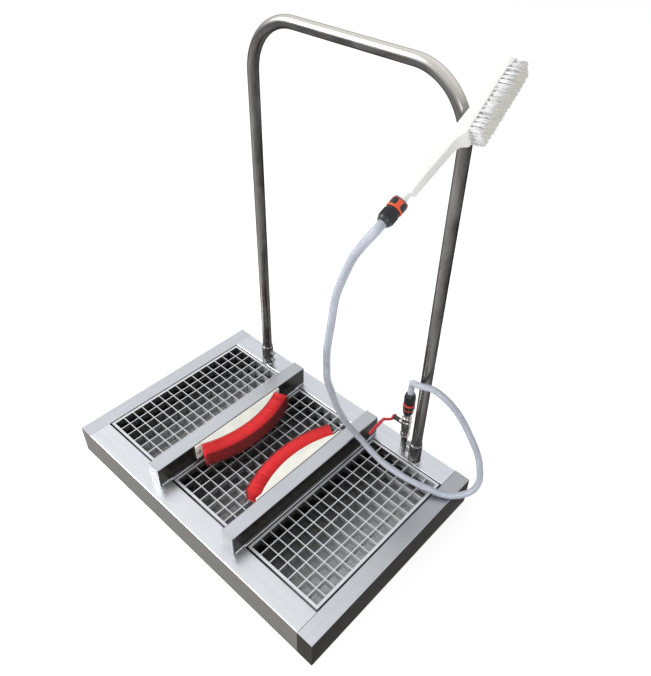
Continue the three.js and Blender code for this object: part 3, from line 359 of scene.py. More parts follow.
def tube(line, radius, sides, bore=0.0):
    """A round bar or tube along a line, with each point's place on the unrolled tube."""
    frames = carried(line)
    points, along, rings = [], [], []

    def ring(i, size, run):
        rings.append(list(range(len(points), len(points) + sides)))
        across, over = frames[i]
        for k in range(sides):
            angle = 2 * math.pi * k / sides
            x, y = size * math.cos(angle), size * math.sin(angle)
            points.append(line[i] + across * x + over * y)
            along.append(Vector((x, y, run)))

    run = 0.0
    runs = []
    for i, place in enumerate(line):
        run += (place - line[i - 1]).length if i else 0.0
        runs.append(run)
        ring(i, radius, run)
    if bore:
        for i in range(len(line) - 1, -1, -1):
            ring(i, bore, runs[i])
        faces = stitched(rings, True)
    else:
        faces = [rings[0][::-1], *stitched(rings, False), rings[-1]]
    return (points, faces), along


def drawn(outline, low, high):
    """An outline in X and Y drawn up from one height to another."""
    loops = [[Vector((x, y, z)) for x, y in outline] for z in (low, high)]
    return lofted(loops)


def smooth_line(places, steps):
    """A centripetal curve through places, as the CAD source draws it."""
    places = [Vector(p) for p in places]
    places = [places[0] * 2 - places[1], *places, places[-1] * 2 - places[-2]]
    made = []
    for i in range(1, len(places) - 2):
        before, start, end, after = places[i - 1 : i + 3]
        gaps = [math.sqrt((b - a).length) for a, b in ((before, start), (start, end), (end, after))]
        out = (start - before) / gaps[0] - (end - before) / (gaps[0] + gaps[1])
        out = (out + (end - start) / gaps[1]) * gaps[1]
        into = (end - start) / gaps[1] - (after - start) / (gaps[1] + gaps[2])
        into = (into + (after - end) / gaps[2]) * gaps[1]
        for k in range(steps):
            t = k / steps
            made.append(
                start
                + out * t
                + (-3 * start + 3 * end - 2 * out - into) * t**2
                + (2 * start - 2 * end + out + into) * t**3
            )
    return made + [places[-2]]


def placed(x, y, z, degrees=0.0, axis="X"):
    """A place in millimetres, turned about one axis."""
    return Matrix.Translation((x, y, z)) @ Matrix.Rotation(math.radians(degrees), 4, axis)


def scaled_place(place):
    """A place in millimetres, as one in metres."""
    made = place.copy()
    made.translation = place.translation * MM
    return made


def brush_frame():
    """From the hand brush's own axes, +Y along it and +X to its bristles, to the station's."""
    return placed(*BRUSH_END, BRUSH_TILT)


# Pieces
# Points of a mesh that are closer than this, in metres, are one
SAME_POINT = 1e-7


def joined(obj, body, stands_for):
    """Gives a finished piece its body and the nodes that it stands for."""
    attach(obj, body)
    if stands_for:
        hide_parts(*stands_for)


def mesh_object(name, shape, materials, smooth_angle=38.0):
    """An object from a shape, its edges sharp where faces turn by more than the angle."""
    mesh = bpy.data.meshes.new(name)
    mesh.from_pydata([p * MM for p in shape.points], [], shape.faces)
    for material in materials:
        mesh.materials.append(material)
    for polygon, finish in zip(mesh.polygons, shape.finishes):
        polygon.material_index = finish
    place = mesh.attributes.new("along", "FLOAT_VECTOR", "POINT")
    place.data.foreach_set("vector", [value * MM for p in shape.along for value in p])
    work = bmesh.new()
    work.from_mesh(mesh)
    bmesh.ops.remove_doubles(work, verts=work.verts, dist=SAME_POINT)
    bmesh.ops.recalc_face_normals(work, faces=work.faces)
    work.to_mesh(mesh)
    work.free()
    mesh.shade_smooth()
    mesh.set_sharp_from_angle(angle=math.radians(smooth_angle))
    obj = bpy.data.objects.new(name, mesh)
    bpy.context.scene.collection.objects.link(obj)
    return obj


def settled(obj):
    """The object with its modifiers made into plain mesh."""
    graph = bpy.context.evaluated_depsgraph_get()
    mesh = bpy.data.meshes.new_from_object(obj.evaluated_get(graph))
    mesh.name = obj.name
    obj.modifiers.clear()
    old = obj.data
    obj.data = mesh
    bpy.data.meshes.remove(old)
    return obj


def bevelled(obj, width, segments=2, from_angle=32.0, smooth_angle=50.0):
    """The object with a narrow bevel on the edges that are sharper than an angle."""
    bevel = obj.modifiers.new("Eased edges", "BEVEL")
    bevel.width = width * MM
    bevel.segments = segments
    bevel.limit_method = "ANGLE"
    bevel.angle_limit = math.radians(from_angle)
    settled(obj)
    obj.data.shade_smooth()
    obj.data.set_sharp_from_angle(angle=math.radians(smooth_angle))
    return obj


def merged(obj, *others):
    """Joins other finished meshes into one object."""
    work = bmesh.new()
    work.from_mesh(obj.data)
    for other in others:
        work.from_mesh(other.data)
        bpy.data.objects.remove(other)
    work.to_mesh(obj.data)
    work.free()
    return obj


# Node trees
class Nodes:
    """A node tree under construction."""

    def __init__(self, tree):
        self.tree = tree

    def node(self, kind, inputs=None, **settings):
        made = self.tree.nodes.new(kind)
        for key, value in settings.items():
            setattr(made, key, value)
        for key, value in (inputs or {}).items():
            self.set(made.inputs[key], value)
        return made

    def set(self, socket, value):
        if isinstance(value, bpy.types.NodeSocket):
            self.tree.links.new(value, socket)
        elif socket.type == "RGBA" and len(value) == 3:
            socket.default_value = (*value, 1.0)
        else:
            socket.default_value = value

    def maths(self, operation, a, b=0.0):
        return self.node("ShaderNodeMath", {0: a, 1: b}, operation=operation).outputs[0]

    def seen(self):
        """1 for what the camera, gloss and clear material show, 0 for light on the object."""
        path = self.node("ShaderNodeLightPath").outputs
        seen = path["Is Camera Ray"]
        for ray in ("Is Glossy Ray", "Is Transmission Ray"):
            seen = self.maths("MAXIMUM", seen, path[ray])
        return seen


class Tree(Nodes):
    """A geometry node tree that runs on a mesh, with named inputs."""

    def __init__(self, name):
        super().__init__(bpy.data.node_groups.new(name, "GeometryNodeTree"))
        self.tree.is_modifier = True
        face = self.tree.interface
        face.new_socket("Geometry", in_out="INPUT", socket_type="NodeSocketGeometry")
        face.new_socket("Geometry", in_out="OUTPUT", socket_type="NodeSocketGeometry")
        self.start = self.tree.nodes.new("NodeGroupInput")
        self.end = self.tree.nodes.new("NodeGroupOutput")

    def ask(self, name, kind, default=None):
        socket = self.tree.interface.new_socket(
            name, in_out="INPUT", socket_type=f"NodeSocket{kind}"
        )
        if default is not None:
            socket.default_value = default
        return self.start.outputs[name]

    def xyz(self, x, y, z):
        return self.node("ShaderNodeCombineXYZ", {"X": x, "Y": y, "Z": z}).outputs[0]

    def dots(self):
        """The points of the mesh that the tree runs on."""
        mesh = self.start.outputs["Geometry"]
        return self.node("GeometryNodeMeshToPoints", {"Mesh": mesh}).outputs[0]

    def moved(self, geometry, offset):
        inputs = {"Geometry": geometry, "Offset": offset}
        return self.node("GeometryNodeSetPosition", inputs).outputs[0]

    def turn(self, way, axis, **settings):
        """The turn that points an axis of a shape along a way."""
        kind = "FunctionNodeAlignRotationToVector"
        return self.node(kind, {"Vector": way}, axis=axis, **settings).outputs[0]

    def copies(self, points, shape, turn, **sizes):
        inputs = {"Points": points, "Instance": shape, "Rotation": turn, **sizes}
        return self.node("GeometryNodeInstanceOnPoints", inputs).outputs[0]

    def real(self, geometry):
        return self.node("GeometryNodeRealizeInstances", {"Geometry": geometry}).outputs[0]

    def vectors(self, operation, a, b=None, scale=None):
        inputs = {0: a}
        if b is not None:
            inputs[1] = b
        if scale is not None:
            inputs["Scale"] = scale
        made = self.node("ShaderNodeVectorMath", inputs, operation=operation)
        return made.outputs["Value" if operation == "DOT_PRODUCT" else "Vector"]

    def random(self, low, high, seed):
        kind = "FLOAT_VECTOR" if isinstance(low, tuple) else "FLOAT"
        first = 0 if kind == "FLOAT_VECTOR" else 2
        made = self.node(
            "FunctionNodeRandomValue", {first: low, first + 1: high, "Seed": seed}, data_type=kind
        )
        return made.outputs[0 if kind == "FLOAT_VECTOR" else 1]

    def attribute(self, name, kind="FLOAT"):
        made = self.node("GeometryNodeInputNamedAttribute", {"Name": name}, data_type=kind)
        return made.outputs["Attribute"]

    def store(self, geometry, name, value, domain="POINT", kind="FLOAT"):
        made = self.node(
            "GeometryNodeStoreNamedAttribute",
            {"Geometry": geometry, "Name": name, "Value": value},
            domain=domain,
            data_type=kind,
        )
        return made.outputs["Geometry"]

    def finish(self, geometry, material, smooth=True):
        real = self.real(geometry)
        if smooth:
            real = self.node("GeometryNodeSetShadeSmooth", {"Geometry": real}).outputs[0]
        inputs = {"Geometry": real, "Material": material}
        dressed = self.node("GeometryNodeSetMaterial", inputs).outputs[0]
        self.set(self.end.inputs["Geometry"], dressed)
        return self.tree


def grown(obj, tree, **inputs):
    """Runs a tree on an object once and keeps the result as plain mesh."""
    modifier = obj.modifiers.new("Repeat", "NODES")
    modifier.node_group = tree
    for item in tree.interface.items_tree:
        if item.in_out == "INPUT" and item.name in inputs:
            modifier[item.identifier] = inputs.pop(item.name)
    if inputs:
        raise ValueError(f"{tree.name} has no inputs named {sorted(inputs)}")
    obj.data.update()
    return settled(obj)


def bristle_tree():
    """Tufts of bristles on a mesh's points, each standing along the point's "out"."""
    t = Tree("Bristle tufts")
    per_tuft = t.ask("Bristles per Tuft", "Int", 12)
    tuft = t.ask("Tuft Radius", "Float", 0.002)
    thick = t.ask("Bristle Radius", "Float", 0.0005)
    reach = t.ask("Reach", "Float", 0.03)
    flare = t.ask("Flare", "Float", 0.06)
    lean = t.ask("Lean", "Float", 0.001)
    uneven = t.ask("Uneven", "Float", 0.03)
    seed = t.ask("Seed", "Int", 1)
    material = t.ask("Finish", "Material")
    copies = {"Geometry": t.dots(), "Amount": per_tuft}
    dots = t.node("GeometryNodeDuplicateElements", copies, domain="POINT").outputs[0]
    every_way = (-1.0, -1.0, -1.0), (1.0, 1.0, 1.0)
    out = t.attribute("out", "FLOAT_VECTOR")
    scatter = t.random(*every_way, seed)
    inward = t.vectors("SCALE", out, scale=t.vectors("DOT_PRODUCT", scatter, out))
    sideways = t.vectors("SUBTRACT", scatter, inward)
    dots = t.store(dots, "sideways", sideways, kind="FLOAT_VECTOR")
    sideways = t.attribute("sideways", "FLOAT_VECTOR")
    dots = t.moved(dots, t.vectors("SCALE", sideways, scale=tuft))
    way = t.vectors("ADD", out, t.vectors("SCALE", sideways, scale=flare))
    cone = t.node(
        "GeometryNodeMeshCone",
        {
            "Vertices": 4,
            "Side Segments": 2,
            "Fill Segments": 1,
            "Radius Top": t.maths("MULTIPLY", thick, 0.8),
            "Radius Bottom": thick,
            "Depth": 1.0,
        },
        fill_type="NGON",
    ).outputs["Mesh"]
    height = t.node("ShaderNodeSeparateXYZ", {0: t.node("GeometryNodeInputPosition").outputs[0]})
    cone = t.store(cone, "reach_share", height.outputs["Z"])
    spread = t.maths("MULTIPLY", uneven, t.random(0.0, 1.0, t.maths("ADD", seed, 1)))
    run = t.maths("MULTIPLY", reach, t.maths("SUBTRACT", 1.0, spread))
    bristles = t.copies(dots, cone, t.turn(way, "Z"), Scale=t.xyz(1.0, 1.0, run))
    tone = t.random(0.0, 1.0, t.maths("ADD", seed, 2))
    bristles = t.store(bristles, "bristle_tone", tone, "INSTANCE")
    bend = t.random(*every_way, t.maths("ADD", seed, 3))
    bend = t.vectors("SCALE", bend, scale=lean)
    bristles = t.real(t.store(bristles, "bend", bend, "INSTANCE", "FLOAT_VECTOR"))
    along = t.attribute("reach_share")
    bent = t.maths("MULTIPLY", along, along)
    curl = t.vectors("SCALE", t.attribute("bend", "FLOAT_VECTOR"), scale=bent)
    return t.finish(t.moved(bristles, curl), material)


def weld_tree():
    """A row of flat drops of weld metal along a mesh's edges."""
    t = Tree("Weld bead")
    half = t.ask("Half Width", "Float", 0.002)
    pitch = t.ask("Pitch", "Float", 0.0016)
    seed = t.ask("Seed", "Int", 1)
    material = t.ask("Finish", "Material")
    line = t.node("GeometryNodeMeshToCurve", {"Mesh": t.start.outputs["Geometry"]}).outputs[0]
    line = t.node("GeometryNodeResampleCurve", {"Curve": line, "Length": pitch}, mode="LENGTH")
    turn = t.turn(t.node("GeometryNodeInputTangent").outputs[0], "X")
    drop = t.node("GeometryNodeMeshIcoSphere", {"Radius": half, "Subdivisions": 2}).outputs["Mesh"]
    long = 0.62
    wide = t.random(0.9, 1.1, seed)
    row = t.copies(line.outputs[0], drop, turn, Scale=t.xyz(long, wide, wide))
    return t.finish(row, material)


def copies_tree():
    """One shape repeated at a mesh's points, standing along each point's "out"."""
    t = Tree("Repeated piece")
    shape = t.ask("Shape", "Object")
    material = t.ask("Finish", "Material")
    shape_mesh = t.node("GeometryNodeObjectInfo", {"Object": shape}).outputs["Geometry"]
    turn = t.turn(t.attribute("out", "FLOAT_VECTOR"), "Z")
    return t.finish(t.copies(t.dots(), shape_mesh, turn), material, smooth=False)


def rib_tree():
    """Grip ribs in a ring about +Z."""
    t = Tree("Grip ribs")
    ribs = t.ask("Ribs", "Int", 24)
    radius = t.ask("Radius", "Float", 0.0145)
    width = t.ask("Width", "Float", 0.0016)
    depth = t.ask("Depth", "Float", 0.0014)
    height = t.ask("Height", "Float", 0.018)
    middle = t.ask("Middle", "Float", 0.0)
    material = t.ask("Finish", "Material")
    ring = t.node("GeometryNodeMeshCircle", {"Vertices": ribs, "Radius": radius}).outputs[0]
    out = t.vectors("NORMALIZE", t.node("GeometryNodeInputPosition").outputs[0])
    ring = t.store(ring, "out", out, kind="FLOAT_VECTOR")
    ring = t.moved(ring, t.xyz(0.0, 0.0, middle))
    rib = t.node("GeometryNodeMeshCylinder", {"Vertices": 8, "Radius": 0.5, "Depth": 1.0})
    turn = t.turn(t.attribute("out", "FLOAT_VECTOR"), "X", pivot_axis="Z")
    row = t.copies(ring, rib.outputs["Mesh"], turn, Scale=t.xyz(depth, width, height))
    return t.finish(row, material, smooth=False)


def dotted(name, places, ways, edges=()):
    """A mesh of bare points in millimetres, each with the way that it faces."""
    mesh = bpy.data.meshes.new(name)
    mesh.from_pydata([Vector(p) * MM for p in places], list(edges), [])
    out = mesh.attributes.new("out", "FLOAT_VECTOR", "POINT")
    out.data.foreach_set("vector", [value for way in ways for value in way])
    obj = bpy.data.objects.new(name, mesh)
    bpy.context.scene.collection.objects.link(obj)
    return obj


# Finishes
# How far each axis is squeezed for lines that run along one of them
GRAIN_ALONG = {"X": (0.012, 1.0, 1.0), "Y": (1.0, 0.012, 1.0), "Z": (1.0, 1.0, 0.012)}
STAIN = tint("6E675C")
# Painted light and shade on upright steel round the station, darkest where a face turns to the
# right: face towards -X or +X, share of its colour
UPRIGHT_PAINTED_LIGHT = ((-1, 0.7), (-0.7, 0.85), (0, 1.05), (0.7, 0.36), (1, 0.2))
# Painted highlight and shade round a level tube's own middle, its top lightest and its front
# darkest: face down or up, share of its colour
LEVEL_PAINTED_LIGHT = (
    (-1, 0.5), (-0.7, 0.65), (-0.3, 0.35), (0.05, 0.24), (0.3, 2.2), (0.6, 4.1), (1, 6.2),
)
# Upright tubes carry a painted reflection of the bright tray near their feet: share of their
# colour, and the heights between which it fades, in metres
FOOT_PAINTED_REFLECTION = 2.8
FOOT_REFLECTION_FADE = (0.12, 0.65)
# The wells between the tray's ends and the beams: from the first one's left to the middle
# of the tray and from one to the next, in metres, and the part of each where shade ends
WELLS_START = 0.405
WELL_PITCH = 0.287
WELL_SHADE = (0.22, 0.62)
# The tint of steel's gloss at a slant, below 1 so that it stays dark there
EDGE_TINT = (0.65, 0.65, 0.65, 1.0)
SHADE_TINT = (0.5, 0.5, 0.5, 1.0)
TUBE_EDGE_TINT = (0.3, 0.3, 0.3, 1.0)
FLOOR_GLOW = 0.7


def shaded(base, factor):
    return tuple(min(1.0, value * factor) for value in base)


class Finish(Nodes):
    """A material under construction, with its pattern read from object coordinates."""

    def __init__(self, name, metallic=0.0, **sockets):
        self.material = bpy.data.materials.new(name)
        self.material.use_nodes = True
        super().__init__(self.material.node_tree)
        self.shader = self.tree.nodes["Principled BSDF"]
        self.shader.inputs["Metallic"].default_value = metallic
        for key, value in sockets.items():
            self.shader.inputs[key.replace("_", " ")].default_value = value

    def place(self, scale=(1.0, 1.0, 1.0), source="object", turn=(0.0, 0.0, 0.0)):
        if source == "object":
            start = self.node("ShaderNodeTexCoord").outputs["Object"]
        else:
            start = self.node("ShaderNodeAttribute", attribute_name=source).outputs["Vector"]
        inputs = {"Vector": start, "Scale": scale, "Rotation": turn}
        return self.node("ShaderNodeMapping", inputs).outputs[0]

    def noise(self, place, scale, detail=4.0, rough=0.55, warp=0.0):
        inputs = {
            "Vector": place,
            "Scale": scale,
            "Detail": detail,
            "Roughness": rough,
            "Distortion": warp,
        }
        return self.node("ShaderNodeTexNoise", inputs).outputs["Fac"]

    def level(self, value, low, high, to_low=0.0, to_high=1.0, smooth=True):
        inputs = {
            "Value": value,
            "From Min": low,
            "From Max": high,
            "To Min": to_low,
            "To Max": to_high,
        }
        kind = "SMOOTHSTEP" if smooth else "LINEAR"
        return self.node("ShaderNodeMapRange", inputs, interpolation_type=kind).outputs[0]

    def blend(self, amount, a, b):
        inputs = {0: amount, 6: a, 7: b}
        return self.node("ShaderNodeMix", inputs, data_type="RGBA").outputs[2]

    def well_share(self):
        """0 at the left of each well, where it lies in shade, to 1 at its right."""
        wells = self.maths("DIVIDE", self.maths("ADD", self.run("X"), WELLS_START), WELL_PITCH)
        return self.level(self.maths("FRACT", wells), *WELL_SHADE)

    def tones(self, value, base, stops):
        """The base colour made lighter or darker by a value from -1 to 1."""
        made = self.node("ShaderNodeValToRGB", {"Fac": self.level(value, -1, 1, 0, 1, False)})
        marks = made.color_ramp.elements
        marks.remove(marks[1])
        for i, (place, factor) in enumerate(stops):
            mark = marks[0] if i == 0 else marks.new((place + 1) / 2)
            mark.position = (place + 1) / 2
            mark.color = (*shaded(base, factor), 1.0)
        return made.outputs["Color"]

    def attribute(self, name):
        return self.node("ShaderNodeAttribute", attribute_name=name).outputs["Fac"]

    def facing(self, axis):
        """How far a face is turned towards an axis, from -1 to 1."""
        normal = self.node("ShaderNodeNewGeometry").outputs["Normal"]
        return self.node("ShaderNodeSeparateXYZ", {0: normal}).outputs[axis]

    def run(self, axis):
        """The place along an axis, in metres."""
        place = self.node("ShaderNodeTexCoord").outputs["Object"]
        return self.node("ShaderNodeSeparateXYZ", {0: place}).outputs[axis]

    def relief(self, height, strength, distance):
        inputs = {"Height": height, "Strength": strength, "Distance": distance}
        bump = self.node("ShaderNodeBump", inputs).outputs["Normal"]
        self.set(self.shader.inputs["Normal"], bump)

    def done(self, colour_of, roughness):
        self.set(self.shader.inputs["Base Color"], colour_of)
        self.set(self.shader.inputs["Roughness"], roughness)
        return self.material


def brushed_sheet(
    name, settings, along, top, skirt, fade=None, metallic=1.0, edge=EDGE_TINT, wells=False
):
    """Sheet brushed one way, darker on its upright faces as painted shade, with water marks low
    down.

    A fade darkens its top as painted shade, from one Y to another in metres, to a share of its
    colour.
    """
    f = Finish(name, metallic=metallic, Specular_Tint=edge)
    lines = f.noise(f.place(GRAIN_ALONG[along]), 1.0 / settings.grain, 6.0, 0.7)
    streaks = f.noise(f.place(GRAIN_ALONG[along]), 0.16 / settings.grain, 3.0)
    cloud = f.noise(f.place(), 5.5, 5.0, 0.6, 0.4)
    marks = f.noise(f.place(), 38.0, 6.0, 0.62, 1.2)
    bright = f.blend(f.level(streaks, 0.3, 0.7), shaded(top, 0.96), shaded(top, 1.03))
    bright = f.blend(f.level(cloud, 0.35, 0.75, 0.0, 0.5), bright, shaded(top, 0.93))
    # Painted shade: the top darkens along Y
    if fade:
        near, far, factor = fade
        bright = f.blend(f.level(f.run("Y"), near, far), bright, shaded(top, factor))
    # Painted shade: the left part of each well lies darker, in the shade of what stands to its left
    if wells:
        bright = f.blend(f.well_share(), shaded(top, 0.3), bright)
    # Painted shade on upright faces, darkest facing right, then stains mixed in
    upright_shade_and_stain = f.tones(f.facing("X"), skirt, UPRIGHT_PAINTED_LIGHT)
    upright_shade_and_stain = f.blend(f.level(cloud, 0.3, 0.7, 0.0, 0.12), upright_shade_and_stain, STAIN)
    upright = f.level(f.facing("Z"), 0.25, 0.85, 1.0, 0.0)
    plain = f.blend(upright, bright, upright_shade_and_stain)
    low = f.level(f.run("Z"), 0.004, 0.05, 1.0, 0.0)
    wet = f.maths("MULTIPLY", low, f.level(marks, 0.45, 0.7))
    plain = f.blend(f.maths("MULTIPLY", wet, 0.3), plain, shaded(STAIN, 0.6))
    fine = f.level(lines, 0.25, 0.75, 0.24, 0.4, False)
    rough = f.maths("ADD", fine, f.level(marks, 0.5, 0.8, 0.0, 0.1))
    f.relief(lines, 0.18, 0.0002)
    return f.done(plain, rough)


def grate_steel(name, settings):
    """Pickled bar: lighter and worn on top, darker and stained down its sides, the lighter top and
    darker sides being painted light and shade.
    """
    f = Finish(name, metallic=0.5)
    base = settings.grate
    speckle = f.noise(f.place(), 900.0, 4.0, 0.7)
    cloud = f.noise(f.place(), 24.0, 5.0, 0.6, 0.5)
    # Painted shade: bar sides darkest at the left of each well
    side = f.blend(f.well_share(), shaded(base, 0.1), shaded(base, 0.95))
    side = f.blend(f.level(cloud, 0.35, 0.7, 0.0, 0.3), side, STAIN)
    # Painted light: tops lighter than the sides, with worn speckles
    worn = f.blend(f.level(speckle, 0.4, 0.7), shaded(base, 0.95), shaded(base, 1.2))
    plain = f.blend(f.level(f.facing("Z"), 0.3, 0.9), side, worn)
    rough = f.maths("ADD", f.level(cloud, 0.3, 0.7, 0.3, 0.46), f.level(speckle, 0, 1, 0, 0.1))
    f.relief(speckle, 0.2, 0.0002)
    return f.done(plain, rough)


def tube_steel(name, base, shade, level_from=None):
    """Satin tube: scratches along it, read from its own unrolled place, with light and shade
    painted by the way each face turns.

    A bent tube turns level between the two heights of level_from, in metres.
    """
    f = Finish(name, metallic=1.0, Specular_Tint=TUBE_EDGE_TINT)
    lines = f.noise(f.place((1.0, 1.0, 0.02), "along"), 1500.0, 5.0, 0.7)
    bands = f.noise(f.place((1.0, 1.0, 0.004), "along"), 190.0, 2.0, 0.5)
    cloud = f.noise(f.place((1.0, 1.0, 0.35), "along"), 30.0, 4.0, 0.6, 0.3)
    # Painted shade round the upright tube, darkest facing right, and a painted reflection of the
    # tray near its foot
    plain = f.tones(f.facing("X"), shade, UPRIGHT_PAINTED_LIGHT)
    foot = f.tones(f.facing("X"), shaded(shade, FOOT_PAINTED_REFLECTION), UPRIGHT_PAINTED_LIGHT)
    plain = f.blend(f.level(f.run("Z"), *FOOT_REFLECTION_FADE), foot, plain)
    if level_from:
        low, high = level_from
        # Painted highlight on the level tube's top and shade on its front and underside
        lying_painted_light = f.tones(f.facing("Z"), shade, LEVEL_PAINTED_LIGHT)
        plain = f.blend(f.level(f.run("Z"), low, high), plain, lying_painted_light)
    else:
        # Painted light: faces turned up take the lighter rail colour
        plain = f.blend(f.level(f.facing("Z"), 0.3, 0.8), plain, base)
    plain = f.blend(f.level(bands, 0.35, 0.65, 0.0, 0.16), plain, shaded(shade, 0.4))
    plain = f.blend(f.level(cloud, 0.3, 0.75, 0.0, 0.1), plain, base)
    rough = f.maths("ADD", f.level(lines, 0.3, 0.7, 0.2, 0.3), f.level(cloud, 0.4, 0.8, 0, 0.09))
    f.relief(lines, 0.12, 0.00015)
    return f.done(plain, rough)


def small_metal(name, base, rough_low=0.2, rough_high=0.36, grain=1400.0):
    """Plated or turned metal with fine tool marks and small stains."""
    f = Finish(name, metallic=1.0)
    lines = f.noise(f.place((1.0, 1.0, 3.0)), grain, 4.0, 0.65)
    cloud = f.noise(f.place(), 70.0, 4.0, 0.55, 0.4)
    plain = f.blend(f.level(cloud, 0.3, 0.75), shaded(base, 0.9), shaded(base, 1.05))
    rough = f.maths(
        "ADD", f.level(lines, 0.3, 0.7, rough_low, rough_high), f.level(cloud, 0.5, 0.8, 0, 0.1)
    )
    f.relief(lines, 0.15, 0.00012)
    return f.done(plain, rough)


def moulded(name, base, rough_low=0.32, rough_high=0.5, grain=900.0, wear=0.06):
    """Moulded plastic: fine grain, slow changes of tone, and scuffs."""
    f = Finish(name)
    grainy = f.noise(f.place(), grain, 3.0, 0.6)
    cloud = f.noise(f.place(), 28.0, 4.0, 0.55, 0.3)
    scuff = f.noise(f.place((1.0, 0.18, 1.0), turn=(0.5, 0.3, 0.9)), 420.0, 5.0, 0.7)
    plain = f.blend(f.level(cloud, 0.3, 0.7), shaded(base, 1.0 - wear), shaded(base, 1.0 + wear))
    worn = f.level(scuff, 0.62, 0.74)
    plain = f.blend(f.maths("MULTIPLY", worn, 0.25), plain, shaded(base, 1.0 - 2.2 * wear))
    rough = f.level(grainy, 0.3, 0.7, rough_low, rough_high)
    rough = f.maths("ADD", rough, f.maths("MULTIPLY", worn, 0.12))
    f.relief(f.maths("ADD", grainy, f.maths("MULTIPLY", worn, 0.5)), 0.16, 0.0002)
    return f.done(plain, rough)


def filament(name, root, tip, tip_from):
    """Bristle: each a little different, changing towards its tip."""
    f = Finish(name)
    tone = f.attribute("bristle_tone")
    run = f.attribute("reach_share")
    cloud = f.noise(f.place(), 60.0, 3.0, 0.5)
    plain = f.blend(f.level(tone, 0.0, 0.6), shaded(root, 0.86), root)
    plain = f.blend(f.level(cloud, 0.5, 0.8, 0.0, 0.25), plain, shaded(root, 0.85))
    plain = f.blend(f.level(run, tip_from, 1.0), plain, tip)
    rough = f.level(tone, 0.0, 1.0, 0.55, 0.7)
    f.relief(f.noise(f.place(), 2500.0, 2.0), 0.08, 0.0001)
    return f.done(plain, rough)


def clear_hose(name, base):
    """Milky see-through hose wall, clouded inside, lightly scuffed."""
    f = Finish(name, IOR=1.3, Transmission_Weight=0.35, Coat_Weight=0.15, Coat_Roughness=0.2)
    cloud = f.noise(f.place((1.0, 1.0, 0.25), "along"), 60.0, 4.0, 0.6, 0.5)
    lines = f.noise(f.place((1.0, 1.0, 0.02), "along"), 700.0, 3.0, 0.6)
    plain = f.blend(f.level(cloud, 0.3, 0.75), shaded(base, 0.9), shaded(base, 1.06))
    plain = f.blend(f.level(lines, 0.55, 0.75, 0.0, 0.35), plain, shaded(base, 0.82))
    rough = f.level(lines, 0.3, 0.7, 0.2, 0.34)
    f.relief(cloud, 0.1, 0.0005)
    return f.done(plain, rough)


def dress(material, *nodes):
    """Gives CAD nodes a finish in place of their flat one."""
    for name in nodes:
        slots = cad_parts[name].data.materials
        slots.clear()
        slots.append(material)


# Operators
class Builder(bpy.types.Operator):
    """Shared by the station's operators."""

    bl_idname = "boot_wash.builder"
    bl_label = "Station piece"
    bl_options = {"REGISTER", "UNDO"}


class BuildCamera(Builder):
    """Sets the camera at the view of the station from its front right, above."""

    bl_idname = "boot_wash.camera"
    bl_label = "Camera"

    def execute(self, context):
        data = bpy.data.cameras.new("View")
        data.lens = CAMERA_LENS
        data.sensor_width = CAMERA_SENSOR
        data.clip_start = 0.02
        data.clip_end = 60.0
        camera = bpy.data.objects.new("View", data)
        context.scene.collection.objects.link(camera)
        turn = Matrix((CAMERA_RIGHT, CAMERA_UP, CAMERA_BACK)).transposed()
        camera.matrix_world = Matrix.Translation(CAMERA_PLACE * MM) @ turn.to_4x4()
        context.scene.camera = camera
        return {"FINISHED"}


# The hose's sides, and its steps from one place of the route to the next
HOSE_SIDES = 28
HOSE_STEPS = 12


class BuildHose(Builder):
    """Makes the hose from the tap to the hand brush."""

    bl_idname = "boot_wash.hose"
    bl_label = "Hose"

    def execute(self, context):
        settings = context.scene.boot_wash_hose
        along = brush_frame().to_3x3() @ Vector((0, 1, 0))
        end = BRUSH_END - along * SEAT_GAP
        route = [HOSE_START, HOSE_START + UP * HOSE_LEAD, *HOSE_ROUTE, end - along * HOSE_LEAD, end]
        line = smooth_line(route, HOSE_STEPS)
        bore = (settings.radius - settings.wall) / MM
        form, places = tube(line, settings.radius / MM, HOSE_SIDES, bore)
        finish = clear_hose("clear_hose_wall", settings.clear)
        obj = mesh_object("garden_hose", Shape().add(form, along=places), [finish])
        joined(obj, "root", ["hose"])
        return {"FINISHED"}


# Heights of each coupling's skirt, collar and union nut, in millimetres
COUPLINGS = {"tap": (17.0, 21.0, 31.0), "brush": (4.0, 19.0, 25.0)}
COLLAR_TRAVEL = 4.0
# Radii that both couplings have, in millimetres
SHELL_BORE = 9.8
CORE_RADIUS = 12.4
SKIRT_RADIUS = 14.5
COLLAR_BORE = 12.7
COLLAR_LIP = 15.1
COLLAR_RADIUS = 15.5
GROOVE_RADIUS = 15.2
NUT_RADIUS = 14.3
RIB_RADIUS = 14.35
SPOUT_RADIUS = 10.3
HOSE_SEAT = 8.9
# The tap collar's grip: its radius, and where it starts and stops up the collar
GRIP_RADIUS = 15.9
GRIP_SPAN = (0.22, 0.72)
# The brush collar's pads, in millimetres; each is shorter than the collar
PAD_WIDTH = 14.5
PAD_SHORT = 4.5
PAD_RADIUS = 15.4
PAD_RISE = 0.9
PAD_SIDES = 24
# The hollows at the brush coupling's foot: depth and reach in millimetres, and, in degrees
# round its axis, the place of the first one and the pads' distance from it
SCALLOP = 4.0
SCALLOP_REACH = 10.0
GRIP_TURN = 55.0
GRIP_SPREAD = 43.0


